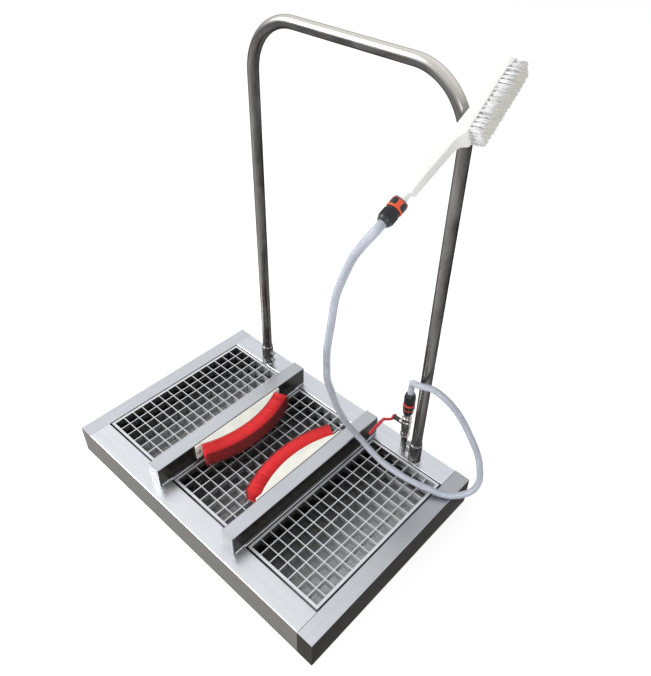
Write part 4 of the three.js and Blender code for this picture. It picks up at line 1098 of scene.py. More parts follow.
def collar_pad(angle, middle, height):
    """A soft oval pad on the side of a collar."""
    points, rings = [], []
    for size, lift in ((1.0, -1.2), (1.0, 0.0), (0.93, 0.55), (0.8, 0.9), (0.4, 1.0), (0.0, 1.0)):
        start = len(points)
        for k in range(PAD_SIDES if size else 1):
            x, z = squared(2 * math.pi * k / PAD_SIDES)
            x, z = x * size * PAD_WIDTH / 2, z * size * height / 2
            out, way = PAD_RADIUS + lift * PAD_RISE, angle + x / PAD_RADIUS
            points.append(Vector((out * math.cos(way), out * math.sin(way), middle + z)))
        rings.append(list(range(start, len(points))))
    return points, [rings[0][::-1], *stitched(rings, False)]


def scalloped(form):
    """The form with its first end hollowed on two sides, between the finger grips."""
    points, faces = form
    made = []
    for p in points:
        angle = math.atan2(p.y, p.x) - math.radians(GRIP_TURN)
        fade = max(0.0, 1 - p.z / SCALLOP_REACH)
        made.append(p + UP * (SCALLOP * math.cos(angle) ** 2 * fade))
    return made, faces


def collar_outline(low, high):
    """The outline of a collar: a lip at each end and grooves between them."""
    lip, groove, grooves = 2, 0.5, 4
    ring = [(COLLAR_BORE, low), (COLLAR_LIP, low), (COLLAR_RADIUS, low + lip)]
    for i in range(1, grooves + 1):
        level = low + lip + i * (high - low - 2 * lip) / (grooves + 1)
        ring += [(COLLAR_RADIUS, level - groove), (GROOVE_RADIUS, level)]
        ring.append((COLLAR_RADIUS, level + groove))
    ring += [(COLLAR_RADIUS, high - lip), (COLLAR_LIP, high)]
    return eased([*ring, (COLLAR_BORE, high), (COLLAR_BORE, low)], 0.35, 2)


def coupling(name, place, bodies, colours, ribs):
    """Body, sliding collar and union nut of one hose coupling, about the place's +Z."""
    skirt, collar, union = COUPLINGS[name]
    low = skirt + SEAT_GAP
    high = low + collar
    core_top = high + COLLAR_TRAVEL
    foot = core_top + SEAT_GAP
    top = foot + union
    black, band = colours
    cut = scalloped if name == "brush" else tuple
    shell = [
        (SHELL_BORE, 0), (12.2, 0), (SKIRT_RADIUS, skirt / 2), (SKIRT_RADIUS, skirt),
        (CORE_RADIUS, skirt), (CORE_RADIUS, core_top), (SHELL_BORE, core_top), (SHELL_BORE, 0),
    ]
    form = cut(revolved(eased(shell, 0.7), 48))
    body = mesh_object(f"{name}_body", Shape().add(form, place), [black])
    joined(body, bodies[0], [f"{name}_coupling_body"])

    shape = Shape().add(cut(revolved(collar_outline(low, high), 64)), place)
    if name == "brush":
        for turn in (GRIP_TURN - GRIP_SPREAD, GRIP_TURN + GRIP_SPREAD):
            for angle in (turn, turn + 180):
                pad = collar_pad(math.radians(angle), (low + high) / 2, collar - PAD_SHORT)
                shape.add(pad, place, finish=1)
    else:
        start, stop = (low + part * collar for part in GRIP_SPAN)
        grip = ring_outline(COLLAR_LIP, GRIP_RADIUS, start, stop, 0.4, 2)
        shape.add(revolved(grip, 64), place, finish=1)
    sleeve = mesh_object(f"{name}_collar", shape, [band, black])
    joined(sleeve, bodies[1], [f"{name}_coupling_collar"])

    nut = [
        (0, foot), (13.9, foot), (NUT_RADIUS, foot + 1.6), (NUT_RADIUS, foot + 0.7 * union),
        (12.8, foot + 0.9 * union), (SPOUT_RADIUS, top), (SPOUT_RADIUS, top + 1.3),
        (HOSE_SEAT, top + 1.3), (HOSE_SEAT, top - 5), (0, top - 5),
    ]
    shape = Shape().add(revolved(eased(nut, 0.8), 48), place)
    obj = mesh_object(f"{name}_nut", shape, [black])
    grips = grown(
        dotted(f"{name}_ribs", [(0, 0, 0)], [UP]),
        rib_tree(),
        Ribs=ribs,
        Radius=RIB_RADIUS * MM,
        Width=1.7 * MM,
        Depth=1.5 * MM,
        Height=0.62 * union * MM,
        Middle=(foot + 0.38 * union) * MM,
        Finish=black,
    )
    grips.data.transform(scaled_place(place))
    merged(obj, grips)
    joined(obj, bodies[2], [f"{name}_union_nut"])


class BuildCouplings(Builder):
    """Makes the quick couplings at the tap and at the hand brush."""

    bl_idname = "boot_wash.couplings"
    bl_label = "Hose couplings"

    def execute(self, context):
        settings = context.scene.boot_wash_coupling
        black = moulded("black_moulding", settings.black, 0.34, 0.5, wear=0.12)
        orange = moulded("orange_moulding", settings.orange, 0.32, 0.46)
        red = moulded("red_moulding", settings.red, 0.32, 0.46)
        tap = placed(VALVE_X, VALVE_Y, TAP_FOOT)
        coupling("tap", tap, ("root", "tap_collar", "root"), (black, red), settings.ribs)
        end = brush_frame() @ placed(0, BRUSH_COUPLING_LENGTH, 0, 90.0)
        bodies = ("hand_brush", "brush_collar", "hand_brush")
        coupling("brush", end, bodies, (black, orange), settings.ribs)
        dress(black, "tap_adaptor")
        return {"FINISHED"}


# The corner seams, in millimetres: half width of the weld metal, the sheet's fold and the
# lowest edge of the skirt
SEAM_HALF = 0.75
FOLD = 3.0
SKIRT_FOOT = 1.0


class BuildTray(Builder):
    """Finishes the tray, its pan, drain, beams and grates."""

    bl_idname = "boot_wash.tray"
    bl_label = "Tray, beams and grates"

    def execute(self, context):
        settings = context.scene.boot_wash_steel
        skirt, ends, beam = settings.skirt, settings.end_sheet, settings.beam
        # Painted light and shade: the front top lightest, the left top at 0.9, the right skirt at
        # 0.2, and fading tops on the right member and the beams
        front = brushed_sheet("front_sheet", settings, "X", settings.sheet, skirt)
        back = brushed_sheet("back_sheet", settings, "X", ends, skirt)
        left = brushed_sheet("left_sheet", settings, "Y", shaded(ends, 0.9), skirt)
        right = brushed_sheet(
            "right_sheet", settings, "Y", ends, shaded(skirt, 0.2), (-0.3, 0.2, 0.6),
            edge=SHADE_TINT,
        )
        beams = brushed_sheet(
            "beam_brushed", settings, "Y", beam, settings.beam_side, (-0.1, 0.3, 0.8)
        )
        caps = brushed_sheet(
            "beam_cap_brushed", settings, "Z", beam, settings.cap, metallic=0.35
        )
        # Painted shade at the left of each well of the pan
        pan = brushed_sheet(
            "pan_sheet", settings, "X", settings.pan, settings.pan, metallic=0.25, wells=True
        )
        dress(front, "front_member")
        dress(back, "back_member", "drain_pipe")
        dress(left, "side_member_left", "cross_member_left", "cross_member_right")
        dress(right, "side_member_right")
        dress(beams, "beam_left", "beam_right")
        dress(caps, *(f"beam_cap_{side}_{end}" for side in POST_X for end in ("front", "back")))
        dress(pan, "pan_floor", "drain_strainer")
        bars = grate_steel("grate_bar_steel", settings)
        dress(bars, "grate_left", "grate_middle", "grate_right")
        self.seams(front)
        return {"FINISHED"}

    def seams(self, finish):
        """Ground-flush weld metal in the seams where the tray's members meet."""
        shape = Shape()
        steps, sides = 6, 8
        for x in (-SEAM_X, SEAM_X):
            for side in (-1, 1):
                face = side * TRAY_HALF_DEPTH
                line = [Vector((x, side * WELL_HALF_DEPTH, TRAY_TOP - SEAM_HALF))]
                for i in range(steps + 1):
                    turn = math.pi / 2 * i / steps
                    out = (FOLD - SEAM_HALF) * math.sin(turn)
                    drop = (FOLD - SEAM_HALF) * (1 - math.cos(turn))
                    place = (x, face - side * (FOLD - out), TRAY_TOP - SEAM_HALF - drop)
                    line.append(Vector(place))
                line.append(Vector((x, face - side * SEAM_HALF, SKIRT_FOOT)))
                form, along = tube(line, SEAM_HALF, sides)
                shape.add(form, along=along)
        obj = mesh_object("corner_welds", shape, [finish])
        joined(obj, "root", ())


def bolts(name, shape, finish, ends, place_of):
    """Copies of one bolt on both sides of the station, each pointing to its middle."""
    pattern = mesh_object(f"{name}_shape", shape, [finish])
    places, ways, names = [], [], []
    for side, way in (("left", 1), ("right", -1)):
        for end, at in ends.items():
            places.append(place_of(side, at))
            ways.append((way, 0, 0))
            names.append(f"{name}_{side}_{end}")
    obj = grown(dotted(f"{name}s", places, ways), copies_tree(), Shape=pattern, Finish=finish)
    bpy.data.objects.remove(pattern)
    joined(obj, "root", names)


# The rail, in millimetres: steps in a bend, straight length under it, longest step along it
BEND_STEPS = 24
UNDER_BEND = 60
RAIL_STEP = 40
SOCKET_BORE = 14.6
# Heights of the clamp bolts over the tray
CLAMP_BOLTS = {"lower": 20, "upper": 46}
# The brush peg's ends on its middle line, its radius and where it leaves the post
PEG_START = Vector((301.5, 256, 1016.8))
PEG_END = Vector((329, 193.2, 1026.4))
PEG_RADIUS = 7.0
PEG_ROOT = 13


def rail_line(settings):
    """The handrail's middle line: up one post, over two bends and down the other."""
    top, bend = settings.top / MM, settings.bend / MM
    left, right = POST_X["left"], POST_X["right"]
    line = [Vector((left, POST_Y, ON_TRAY)), Vector((left, POST_Y, top - bend - UNDER_BEND))]
    turns = [math.pi / 2 * i / BEND_STEPS for i in range(BEND_STEPS + 1)]
    for turn in turns:
        x, z = left + bend * (1 - math.cos(turn)), top - bend + bend * math.sin(turn)
        line.append(Vector((x, POST_Y, z)))
    for turn in turns:
        x, z = right - bend * (1 - math.sin(turn)), top - bend + bend * math.cos(turn)
        line.append(Vector((x, POST_Y, z)))
    line += [Vector((right, POST_Y, top - bend - UNDER_BEND)), Vector((right, POST_Y, ON_TRAY))]
    spaced = []
    for a, b in zip(line, line[1:]):
        pieces = max(1, round((b - a).length / RAIL_STEP))
        spaced += [a.lerp(b, k / pieces) for k in range(pieces)]
    return spaced + line[-1:]


class BuildRail(Builder):
    """Makes the handrail, its sockets, clamp bolts, brush peg and weld beads."""

    bl_idname = "boot_wash.rail"
    bl_label = "Handrail"

    def execute(self, context):
        steel = context.scene.boot_wash_steel
        settings = context.scene.boot_wash_rail
        # The rail's lit and shaded colours, for the tube's painted light and shade
        tones = steel.rail, steel.rail_shade
        top = settings.top
        satin = tube_steel("satin_tube", *tones, (top - settings.bend * 0.9, top - 0.02))
        form, places = tube(rail_line(settings), settings.radius / MM, 56)
        obj = mesh_object("rail_tube", Shape().add(form, along=places), [satin])
        joined(obj, "root", ["handrail"])

        turned = tube_steel("socket_steel", *tones)
        outer, height = settings.socket_radius / MM, settings.socket_height / MM
        socket = revolved(ring_outline(SOCKET_BORE, outer, 0, height, 0.9), 56)
        for side, x in POST_X.items():
            shape = Shape().add(socket, placed(x, POST_Y, ON_TRAY))
            obj = mesh_object(f"post_socket_{side}", shape, [turned])
            joined(obj, "root", [f"rail_socket_{side}"])

        fastener = small_metal("fastener_steel", steel.fastener, 0.26, 0.42)
        # Head, shank, washer and nut
        shape = Shape().add(hex_form(5.5, 24, 29, 0.7))
        shape.add(revolved(disc_outline(3, 14.3, 24.4, 0.3), 20))
        shape.add(revolved(disc_outline(6.2, 17.1, 18.2, 0.3), 28))
        shape.add(hex_form(5.2, 18.4, 21.4, 0.6))
        bolts(
            "clamp_bolt", shape, fastener, CLAMP_BOLTS,
            lambda side, rise: (POST_X[side], POST_Y, ON_TRAY + rise),
        )

        run = (PEG_END - PEG_START).length
        r = PEG_RADIUS
        dome = [(r * math.cos(t), run + 0.6 * r * math.sin(t)) for t in (0, 0.5, 0.9, 1.2, 1.4)]
        outline = [(0, PEG_ROOT), (r, PEG_ROOT), *dome, (0, run + 0.6 * r)]
        turn = (PEG_END - PEG_START).to_track_quat("Z", "Y").to_matrix().to_4x4()
        place = Matrix.Translation(PEG_START) @ turn
        obj = mesh_object("peg", Shape().add(revolved(outline, 40), place), [turned])
        joined(obj, "root", ["brush_peg"])
        self.welds(settings, steel)
        return {"FINISHED"}

    def welds(self, settings, steel):
        """Beads round the socket feet, the peg, and where the beams stand on the tray."""
        points, edges = [], []
        height = ON_TRAY + 1
        sides = 48
        peg_foot = 14.6
        beam_edge = 20.6
        stretches = ((-266, -234), (226, 258))

        def run(places, closed):
            start = len(points)
            points.extend(places)
            edges.extend((start + i, start + i + 1) for i in range(len(places) - 1))
            if closed:
                edges.append((start + len(places) - 1, start))

        def circle(middle, across, over, radius):
            across, over = across * radius, over * radius
            turns = [2 * math.pi * i / sides for i in range(sides)]
            run([middle + across * math.cos(t) + over * math.sin(t) for t in turns], True)

        foot = settings.socket_radius / MM + 0.6
        for x in POST_X.values():
            circle(Vector((x, POST_Y, height)), Vector((1, 0, 0)), Vector((0, 1, 0)), foot)
        way = (PEG_END - PEG_START).normalized()
        across = way.cross(UP).normalized()
        circle(PEG_START + way * peg_foot, across, way.cross(across), PEG_RADIUS + 0.2)
        for side in (-1, 1):
            for edge in (-beam_edge, beam_edge):
                x = side * BEAM_X + edge
                for near, far in stretches:
                    run([Vector((x, near, height)), Vector((x, far, height))], False)
        bead = small_metal("weld_metal", shaded(steel.end_sheet, 0.75), 0.3, 0.5, 700.0)
        obj = grown(
            dotted("weld_beads", points, [UP] * len(points), edges),
            weld_tree(),
            **{"Half Width": settings.bead, "Pitch": settings.bead * 0.5, "Finish": bead},
        )
        joined(obj, "root", ())


# The boot brushes' blocks, in millimetres: plate behind the curve, lugs past its ends, the
# bosses' distance from a lug's end and from the top, the front's distance behind its
# nominal curve, and the tufts' margin and depth
PLATE = 5
LUG = 18
BOSS_INSET = 8
BOSS_DROP = 24
FRONT_INSET = 0.6
TUFT_MARGIN = 2.6
TUFT_DEPTH = 1.4
# Half the steps along the curve
CURVE_STEPS = 24
# The blocks' bolts: how far each is along the block, and their height
BRUSH_BOLTS = {"a": -145, "b": 145}
BRUSH_BOLT_HEIGHT = 126


class BuildBootBrushes(Builder):
    """Makes the curved blocks of the boot brushes, their bristles and their bolts."""

    bl_idname = "boot_wash.boot_brushes"
    bl_label = "Boot brushes"

    def execute(self, context):
        settings = context.scene.boot_wash_boot_brush
        white = moulded("milled_white", settings.block, 0.38, 0.56, 500.0, 0.05)
        red = settings.bristle
        # Painted shade: the outer fifth of each bristle turns near black-red
        bristle = filament("red_filament", red, shaded(red, 0.07), 0.8)
        metal = context.scene.boot_wash_steel.fastener
        fastener = small_metal("brush_bolt_steel", metal, 0.26, 0.42)
        tree = bristle_tree()
        for side, turn, seed in (("left", 0.0, 11), ("right", 180.0, 12)):
            place = placed(BLOCK_X[side], 0, BLOCK_FOOT, turn, "Z")
            self.block(side, place, settings, white)
            places, ways = self.tuft_places(place, settings)
            tufts = grown(
                dotted(f"boot_bristles_{side}", places, ways),
                tree,
                **{
                    "Bristles per Tuft": settings.per_tuft,
                    "Tuft Radius": 0.00085,
                    "Bristle Radius": 0.00050,
                    "Reach": settings.reach + 0.0012,
                    "Flare": 0.004,
                    "Lean": 0.00025,
                    "Uneven": 0.025,
                    "Seed": seed,
                    "Finish": bristle,
                },
            )
            joined(tufts, "root", [f"boot_brush_bristles_{side}"])
        self.lug_bolts(fastener)
        return {"FINISHED"}

    def curve(self, settings):
        """Radius, centre and half angle of the blocks' curved front."""
        chord, crown = settings.half_chord / MM, settings.crown / MM
        radius = (chord**2 + crown**2) / (2 * crown)
        return radius, PLATE + crown - radius, math.asin(chord / radius)

    def block(self, side, place, settings, white):
        """One block with its plate, lugs and the bosses of its bolts."""
        radius, centre, sweep = self.curve(settings)
        chord, height = settings.half_chord / MM, settings.height / MM
        front, reach = radius - FRONT_INSET, chord + LUG
        outline = [(0, -reach), (PLATE, -reach), (PLATE, -chord)]
        for i in range(2 * CURVE_STEPS + 1):
            angle = sweep * (i / CURVE_STEPS - 1)
            outline.append((centre + front * math.cos(angle), front * math.sin(angle)))
        outline += [(PLATE, chord), (PLATE, reach), (0, reach)]
        shape = Shape().add(drawn(outline, 0, height), place)
        obj = bevelled(mesh_object(f"brush_back_{side}", shape, [white]), 0.9)
        bosses = Shape()
        boss = revolved(disc_outline(8, -1.7, 0.4, 0.3), 32)
        for end in (-1, 1):
            y, z = end * (reach - BOSS_INSET), height - BOSS_DROP
            bosses.add(boss, place @ placed(0, y, z, 90.0, "Y"))
        merged(obj, mesh_object(f"bosses_{side}", bosses, [white]))
        joined(obj, "root", [f"boot_brush_block_{side}"])

    def tuft_places(self, place, settings):
        """Where a block's tufts stand, and the way that each faces."""
        radius, centre, sweep = self.curve(settings)
        height = settings.height / MM
        places, ways = [], []
        for i in range(settings.columns):
            angle = (sweep - TUFT_MARGIN / radius) * (2 * i / (settings.columns - 1) - 1)
            out = Vector((math.cos(angle), math.sin(angle), 0))
            for j in range(settings.rows):
                z = TUFT_MARGIN + (height - 2 * TUFT_MARGIN) * j / (settings.rows - 1)
                places.append(place @ (Vector((centre, 0, z)) + out * (radius - TUFT_DEPTH)))
                ways.append(place.to_3x3() @ out)
        return places, ways

    def lug_bolts(self, fastener):
        """Domed bolts through the lugs at both ends of each block."""
        # Domed head, shank and washer
        head = [(0, 5.2), (4.5, 5.2), (4.5, 6.6), (3.6, 8.2), (1.9, 8.8), (1.7, 7.2), (0, 7.2)]
        shape = Shape().add(revolved(eased(head, 0.35), 32))
        shape.add(revolved(disc_outline(3, -9, 5.6, 0.3), 20))
        shape.add(revolved(ring_outline(3.3, 6.0, 5.1, 5.9, 0.2), 32))
        bolts(
            "brush_bolt", shape, fastener, BRUSH_BOLTS,
            lambda side, y: (BLOCK_X[side], y, BRUSH_BOLT_HEIGHT),
        )


def rounded_section(t, back, front, half_back, half_front, radius, steps=7):
    """A rounded four-sided loop across the hand brush, at a place along it."""
    loop = []
    corners = ((front, half_front), (back, half_back), (back, -half_back), (front, -half_front))
    for quarter, (x, z) in enumerate(corners):
        middle = Vector((x - math.copysign(radius, x), t, z - math.copysign(radius, z)))
        for k in range(steps):
            angle = math.pi / 2 * (quarter + k / (steps - 1))
            loop.append(middle + Vector((math.cos(angle), 0, math.sin(angle))) * radius)
    return loop


# The hand brush: place along it, back, front, half width at the back and front, corner radius
HAND_BRUSH_SECTIONS = [
    (39.2, -9.3, 9.3, 9.3, 9.3, 9.25), (50, -9.3, 9.3, 9.3, 9.3, 9.25),
    (51.4, -7.6, 7.6, 7.6, 7.6, 7.5), (67, -7.4, 7.4, 7.4, 7.4, 7.2),
    (70.5, -7.8, 7.8, 7.8, 7.8, 6.4), (72.5, -9.2, 9.2, 9.2, 9.2, 4.2),
    (75, -10.4, 10.4, 10.4, 10.4, 3.4), (110, -10.5, 10.5, 10.5, 10.5, 3.2),
    (160, -10.5, 10.5, 10.5, 10.6, 3.2), (190, -10.6, 10.8, 10.5, 11.6, 3.2),
    (200, -10.8, 12.6, 10.5, 13.6, 3.2), (206, -10.9, 16.8, 10.5, 16.2, 3.2),
    (210, -11, 20.6, 10.5, 18.0, 2.6), (214, -11, 22.0, 10.5, 19, 2.0),
    (230, -11, 19.7, 11.4, 19.2, 2.0), (260, -11, 15.5, 13.1, 19.5, 2.0),
    (300, -11, 9.9, 15.4, 19.9, 2.0), (340, -11, 4.2, 17.7, 20.4, 2.0),
    (370, -11, 0.0, 19.4, 20.7, 2.0), (384, -11, -2.0, 20.2, 20.8, 2.0),
    (390, -11, -2.9, 18.9, 19.3, 2.0), (394, -10.9, -3.4, 16.9, 17.2, 2.0),
    (396.6, -10.6, -3.9, 14.3, 14.5, 2.0), (397.8, -10.0, -4.8, 11.6, 11.7, 1.6),
]
# The face of the head that carries the bristles: (X, Y) nearest the handle and at the tip
FACE_START = (22.0, 214.0)
FACE_END = (-4.0, 398.0)
# The tufts, in millimetres: first and last row from the face's ends, half width that the
# rows take, how much it grows, the narrower rows at the tip, and the roots' depth
ROW_START = 6.5
ROW_END = 10.0
ROW_HALF = 14.8
ROW_GROWTH = 1.4
TIP_LENGTH = 12
TIP_NARROWER = 2.5
ROOT_DEPTH = 1.2


class BuildHandBrush(Builder):
    """Makes the hand brush: handle and head in one moulding, and its bristles."""

    bl_idname = "boot_wash.hand_brush"
    bl_label = "Hand brush"

    def execute(self, context):
        settings = context.scene.boot_wash_hand_brush
        frame_of = brush_frame()
        white = moulded("white_moulding", settings.body, 0.26, 0.4, 1100.0, 0.03)
        loops = [rounded_section(*row) for row in HAND_BRUSH_SECTIONS]
        obj = mesh_object("hand_brush_body", Shape().add(lofted(loops), frame_of), [white], 45.0)
        joined(obj, "hand_brush", ["hand_brush_handle", "hand_brush_head"])

        places, ways = self.tuft_places(frame_of, settings)
        bristle = filament("pale_filament", settings.bristle, settings.tips, 0.9)
        tufts = grown(
            dotted("hand_bristles", places, ways),
            bristle_tree(),
            **{
                "Bristles per Tuft": settings.per_tuft,
                "Tuft Radius": 0.0033,
                "Bristle Radius": 0.00042,
                "Reach": settings.reach,
                "Flare": 0.02,
                "Lean": 0.0012,
                "Uneven": 0.06,
                "Seed": 21,
                "Finish": bristle,
            },
        )
        joined(tufts, "hand_brush", ["hand_brush_bristles"])
        return {"FINISHED"}

    def tuft_places(self, frame_of, settings):
        """Where the tufts stand on the head's slanting face, and the way that each faces."""
        fall, length_of = FACE_START[0] - FACE_END[0], FACE_END[1] - FACE_START[1]
        slope, run = math.atan2(fall, length_of), math.hypot(fall, length_of)
        out = Vector((math.cos(slope), math.sin(slope), 0))
        along = Vector((-math.sin(slope), math.cos(slope), 0))
        start = Vector((*FACE_START, 0))
        places, ways = [], []
        for i in range(settings.rows):
            s = ROW_START + (run - (ROW_START + ROW_END)) * i / (settings.rows - 1)
            half = ROW_HALF + ROW_GROWTH * s / run
            if s > run - TIP_LENGTH:
                half -= TIP_NARROWER
            for j in range(settings.columns):
                z = half * (2 * j / (settings.columns - 1) - 1)
                spot = start + along * s + out * -ROOT_DEPTH + Vector((0, 0, z))
                places.append(frame_of @ spot)
                ways.append(frame_of.to_3x3() @ out)
        return places, ways


# Sides of a section through the lever
LEVER_SIDES = 20


class BuildValve(Builder):
    """Makes the riser, the ball valve and its lever."""

    bl_idname = "boot_wash.valve"
    bl_label = "Ball valve"

    def execute(self, context):
        steel = context.scene.boot_wash_steel
        nickel = small_metal("nickel_plate", steel.nickel, 0.16, 0.3)
        # The riser takes the rail's lit and shaded colours, as painted light and shade
        pipe = tube_steel("riser_steel", steel.rail, steel.rail_shade)
        middle = placed(VALVE_X, VALVE_Y, 0)
        outline = ring_outline(6.3, 8.6, 40, 165, 0.4)
        obj = mesh_object("riser", Shape().add(revolved(outline, 48), middle), [pipe])
        joined(obj, "root", ["riser_pipe"])
        shape = Shape().add(hex_form(11, 148.7, 155.7, 1.1), middle)
        obj = bevelled(mesh_object("lock_nut", shape, [nickel]), 0.3)
        joined(obj, "root", ["ring_nut"])
        self.casting(nickel, middle)
        dress(nickel, "valve_ball", "inlet_elbow")
        dress(small_metal("stem_steel", shaded(steel.rail_shade, 0.5)), "valve_stem")

        place = placed(VALVE_X, VALVE_Y, VALVE_AXIS, LEVER_ANGLE)
        stem = place @ Matrix.Rotation(-math.pi / 2, 4, "Y")
        self.lever(context.scene.boot_wash_valve, place, stem)
        fastener = small_metal("lever_nut_steel", steel.fastener, 0.22, 0.36)
        shape = Shape().add(hex_form(6.5, 41.9, 45.7, 0.7), stem)
        obj = mesh_object("lever_screw_nut", shape, [fastener])
        joined(obj, "lever", ["lever_nut"])
        return {"FINISHED"}

    def casting(self, nickel, middle):
        """The turned body of the valve, its three hexagons and the boss of its stem."""
        outline = [
            (8.9, 156), (11.4, 156), (11.6, 158), (11.3, 160), (11.3, 166), (11.9, 170),
            (12.9, 178), (13.3, 188), (13.3, 196), (12.9, 199), (13.2, 200), (13.2, 207),
            (11.9, 208.4), (11.6, 213.8), (12.2, 215.3), (12.2, 221.4), (9.6, 222.9),
            (9.6, 224.5), (9.2, 225.2), (9.6, 226), (9.2, 226.8), (9.6, 227.6), (9.2, 228.4),
            (9.6, 229.2), (9.3, 232), (5, 232), (5, 165.3), (8.9, 165.3), (8.9, 156),
        ]
        shape = Shape().add(revolved(eased(outline, 0.5, 2), 56), middle)
        # Hexagons of the middle, the outlet and the inlet
        shape.add(hex_form(12.3, 199.6, 207.4, 0.8), middle)
        shape.add(hex_form(11.7, 214.9, 221.6, 0.7), middle)
        shape.add(hex_form(11.2, 156.3, 166, 0.8), middle)
        boss = placed(VALVE_X, VALVE_Y, VALVE_AXIS, -90.0, "Y")
        shape.add(revolved(eased([(0, 8), (8.2, 8), (7, 14), (7, 20), (0, 20)], 0.6), 40), boss)
        obj = mesh_object("valve_casting", shape, [nickel])
        joined(obj, "root", ["valve_body"])

    def lever(self, settings, place, stem):
        """The dipped arm, bent out and down from its hub on the stem."""
        coat = moulded("dipped_red", settings.lever, 0.22, 0.34, 500.0, 0.08)
        grip = settings.grip_width / MM / 2
        # Places along the arm: X, Y, half its thickness and half its width
        stations = [
            (-40.4, -3, 1.3, 7.0), (-40.6, -8, 1.4, 6.2), (-41.6, -10.5, 1.5, 5.8),
            (-47, -15.8, 1.8, 5.4), (-54.5, -21.2, 2.2, 5.6), (-57.3, -23.6, 2.8, 6.0),
            (-58, -26, 3.4, grip), (-58, -40, 3.5, grip), (-58, -60, 3.5, grip),
            (-58, -76, 3.4, grip), (-58, -81.5, 3.0, grip * 0.86), (-58, -84.3, 2.0, grip * 0.55),
            (-58, -85.3, 0.9, grip * 0.25),
        ]
        loops = []
        for i, (x, y, thick, half) in enumerate(stations):
            before, after = stations[max(i - 1, 0)], stations[min(i + 1, len(stations) - 1)]
            way = Vector((after[0] - before[0], after[1] - before[1])).normalized()
            across = Vector((way.y, -way.x, 0))
            loop = []
            for k in range(LEVER_SIDES):
                thin, wide = squared(2 * math.pi * k / LEVER_SIDES)
                loop.append(Vector((x, y, wide * half)) + across * (thin * thick))
            loops.append(loop)
        shape = Shape().add(lofted(loops), place)
        shape.add(revolved(ring_outline(4.3, 9, 39.2, 41.5, 0.6), 40), stem)
        obj = mesh_object("lever_arm", shape, [coat], 55.0)
        joined(obj, "lever", ["valve_lever"])


# The floor's half width and its level, in metres
FLOOR_REACH = 9.0
FLOOR_LEVEL = -0.0006
# The round lamps, in metres: where each stands, what it points at and its width
LAMPS = {
    "key": ((-2.9, -2.4, 3.4), (0, 0, 0.2), 2.6),
    "fill": ((1.7, -1.4, 1.3), (0.3, 0, 0.8), 1.2),
}


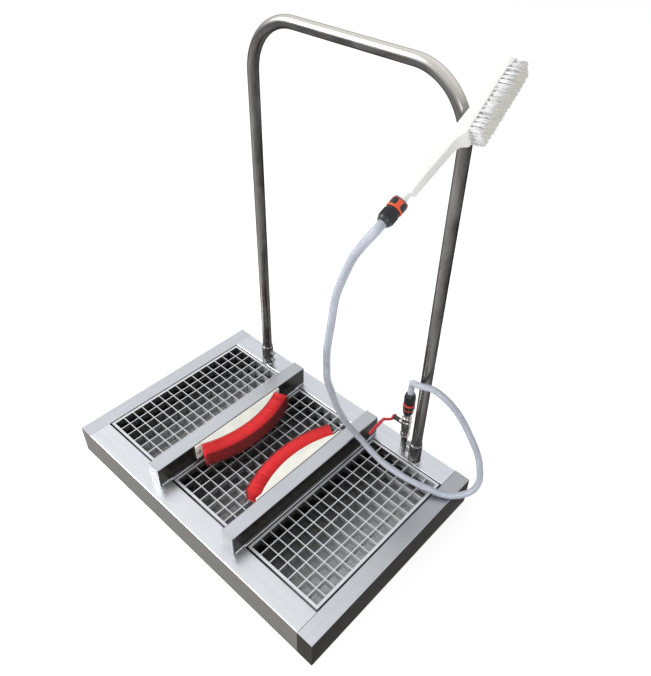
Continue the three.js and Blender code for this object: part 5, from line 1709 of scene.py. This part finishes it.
class BuildStage(Builder):
    """Sets the pale floor, the white background and the soft lamps."""

    bl_idname = "boot_wash.stage"
    bl_label = "Stage"

    def execute(self, context):
        settings = context.scene.boot_wash_stage
        scene = context.scene
        scene.view_settings.view_transform = "Standard"
        mesh = bpy.data.meshes.new("studio_floor")
        corners = [
            (x * FLOOR_REACH, y * FLOOR_REACH, FLOOR_LEVEL)
            for x, y in ((-1, -1), (1, -1), (1, 1), (-1, 1))
        ]
        mesh.from_pydata(corners, [], [(0, 1, 2, 3)])
        floor = bpy.data.objects.new("studio_floor", mesh)
        scene.collection.objects.link(floor)
        mesh.materials.append(self.floor_finish(settings.floor))
        self.room(settings.world)
        for name, (place, target, size) in LAMPS.items():
            self.lamp(f"{name.title()} lamp", place, target, size, getattr(settings, name))
        return {"FINISHED"}

    def floor_finish(self, base):
        f = Finish("studio_floor", Specular_IOR_Level=0.1)
        cloud = f.noise(f.place(), 3.0, 4.0)
        f.done(f.blend(cloud, shaded(base, 0.99), shaded(base, 1.01)), 0.85)
        inputs = {"Color": (1.0, 1.0, 1.0), "Strength": f.maths("MULTIPLY", f.seen(), FLOOR_GLOW)}
        glow = f.node("ShaderNodeEmission", inputs).outputs[0]
        both = f.node("ShaderNodeAddShader", {0: f.shader.outputs[0], 1: glow}).outputs[0]
        f.set(f.tree.nodes["Material Output"].inputs["Surface"], both)
        return f.material

    def room(self, strength):
        world = bpy.data.worlds.new("Studio")
        bpy.context.scene.world = world
        world.use_nodes = True
        world.node_tree.nodes.clear()
        room = Nodes(world.node_tree)
        inputs = {"Value": room.seen(), "To Min": strength, "To Max": 1.0}
        level = room.node("ShaderNodeMapRange", inputs).outputs[0]
        inputs = {"Color": (1.0, 1.0, 1.0), "Strength": level}
        back = room.node("ShaderNodeBackground", inputs).outputs[0]
        room.node("ShaderNodeOutputWorld", {"Surface": back})

    def lamp(self, name, place, target, size, power_of):
        data = bpy.data.lights.new(name, "AREA")
        data.shape = "DISK"
        data.size = size
        data.energy = power_of
        lamp = bpy.data.objects.new(name, data)
        bpy.context.scene.collection.objects.link(lamp)
        lamp.location = place
        way = Vector(target) - Vector(place)
        lamp.rotation_euler = way.to_track_quat("-Z", "Y").to_euler()


class StationPanel(bpy.types.Panel):
    """Lists the station's operators and sizes."""

    bl_idname = "VIEW3D_PT_boot_wash"
    bl_label = "Boot washing station"
    bl_space_type = "VIEW_3D"
    bl_region_type = "UI"
    bl_category = "Boot Wash"

    def draw(self, context):
        layout = self.layout
        for operator in OPERATORS:
            layout.operator(operator.bl_idname)
        for name, group in SETTINGS.items():
            box = layout.box()
            box.label(text=name.replace("_", " "))
            for key in group.__annotations__:
                box.prop(getattr(context.scene, name), key)


SETTINGS = {
    "boot_wash_steel": SteelSettings,
    "boot_wash_rail": RailSettings,
    "boot_wash_boot_brush": BootBrushSettings,
    "boot_wash_valve": ValveSettings,
    "boot_wash_coupling": CouplingSettings,
    "boot_wash_hose": HoseSettings,
    "boot_wash_hand_brush": HandBrushSettings,
    "boot_wash_stage": StageSettings,
}
OPERATORS = [
    BuildCamera,
    BuildCouplings,
    BuildHose,
    BuildTray,
    BuildRail,
    BuildBootBrushes,
    BuildValve,
    BuildHandBrush,
    BuildStage,
]


def register():
    for group in SETTINGS.values():
        bpy.utils.register_class(group)
    for operator in OPERATORS:
        bpy.utils.register_class(operator)
    bpy.utils.register_class(StationPanel)
    for name, group in SETTINGS.items():
        setattr(bpy.types.Scene, name, PointerProperty(type=group))


def unregister():
    for name in SETTINGS:
        delattr(bpy.types.Scene, name)
    bpy.utils.unregister_class(StationPanel)
    for operator in reversed(OPERATORS):
        bpy.utils.unregister_class(operator)
    for group in reversed(list(SETTINGS.values())):
        bpy.utils.unregister_class(group)


def main():
    register()
    for operator in OPERATORS:
        group, name = operator.bl_idname.split(".")
        getattr(getattr(bpy.ops, group), name)()


if __name__ == "__main__":
    main()
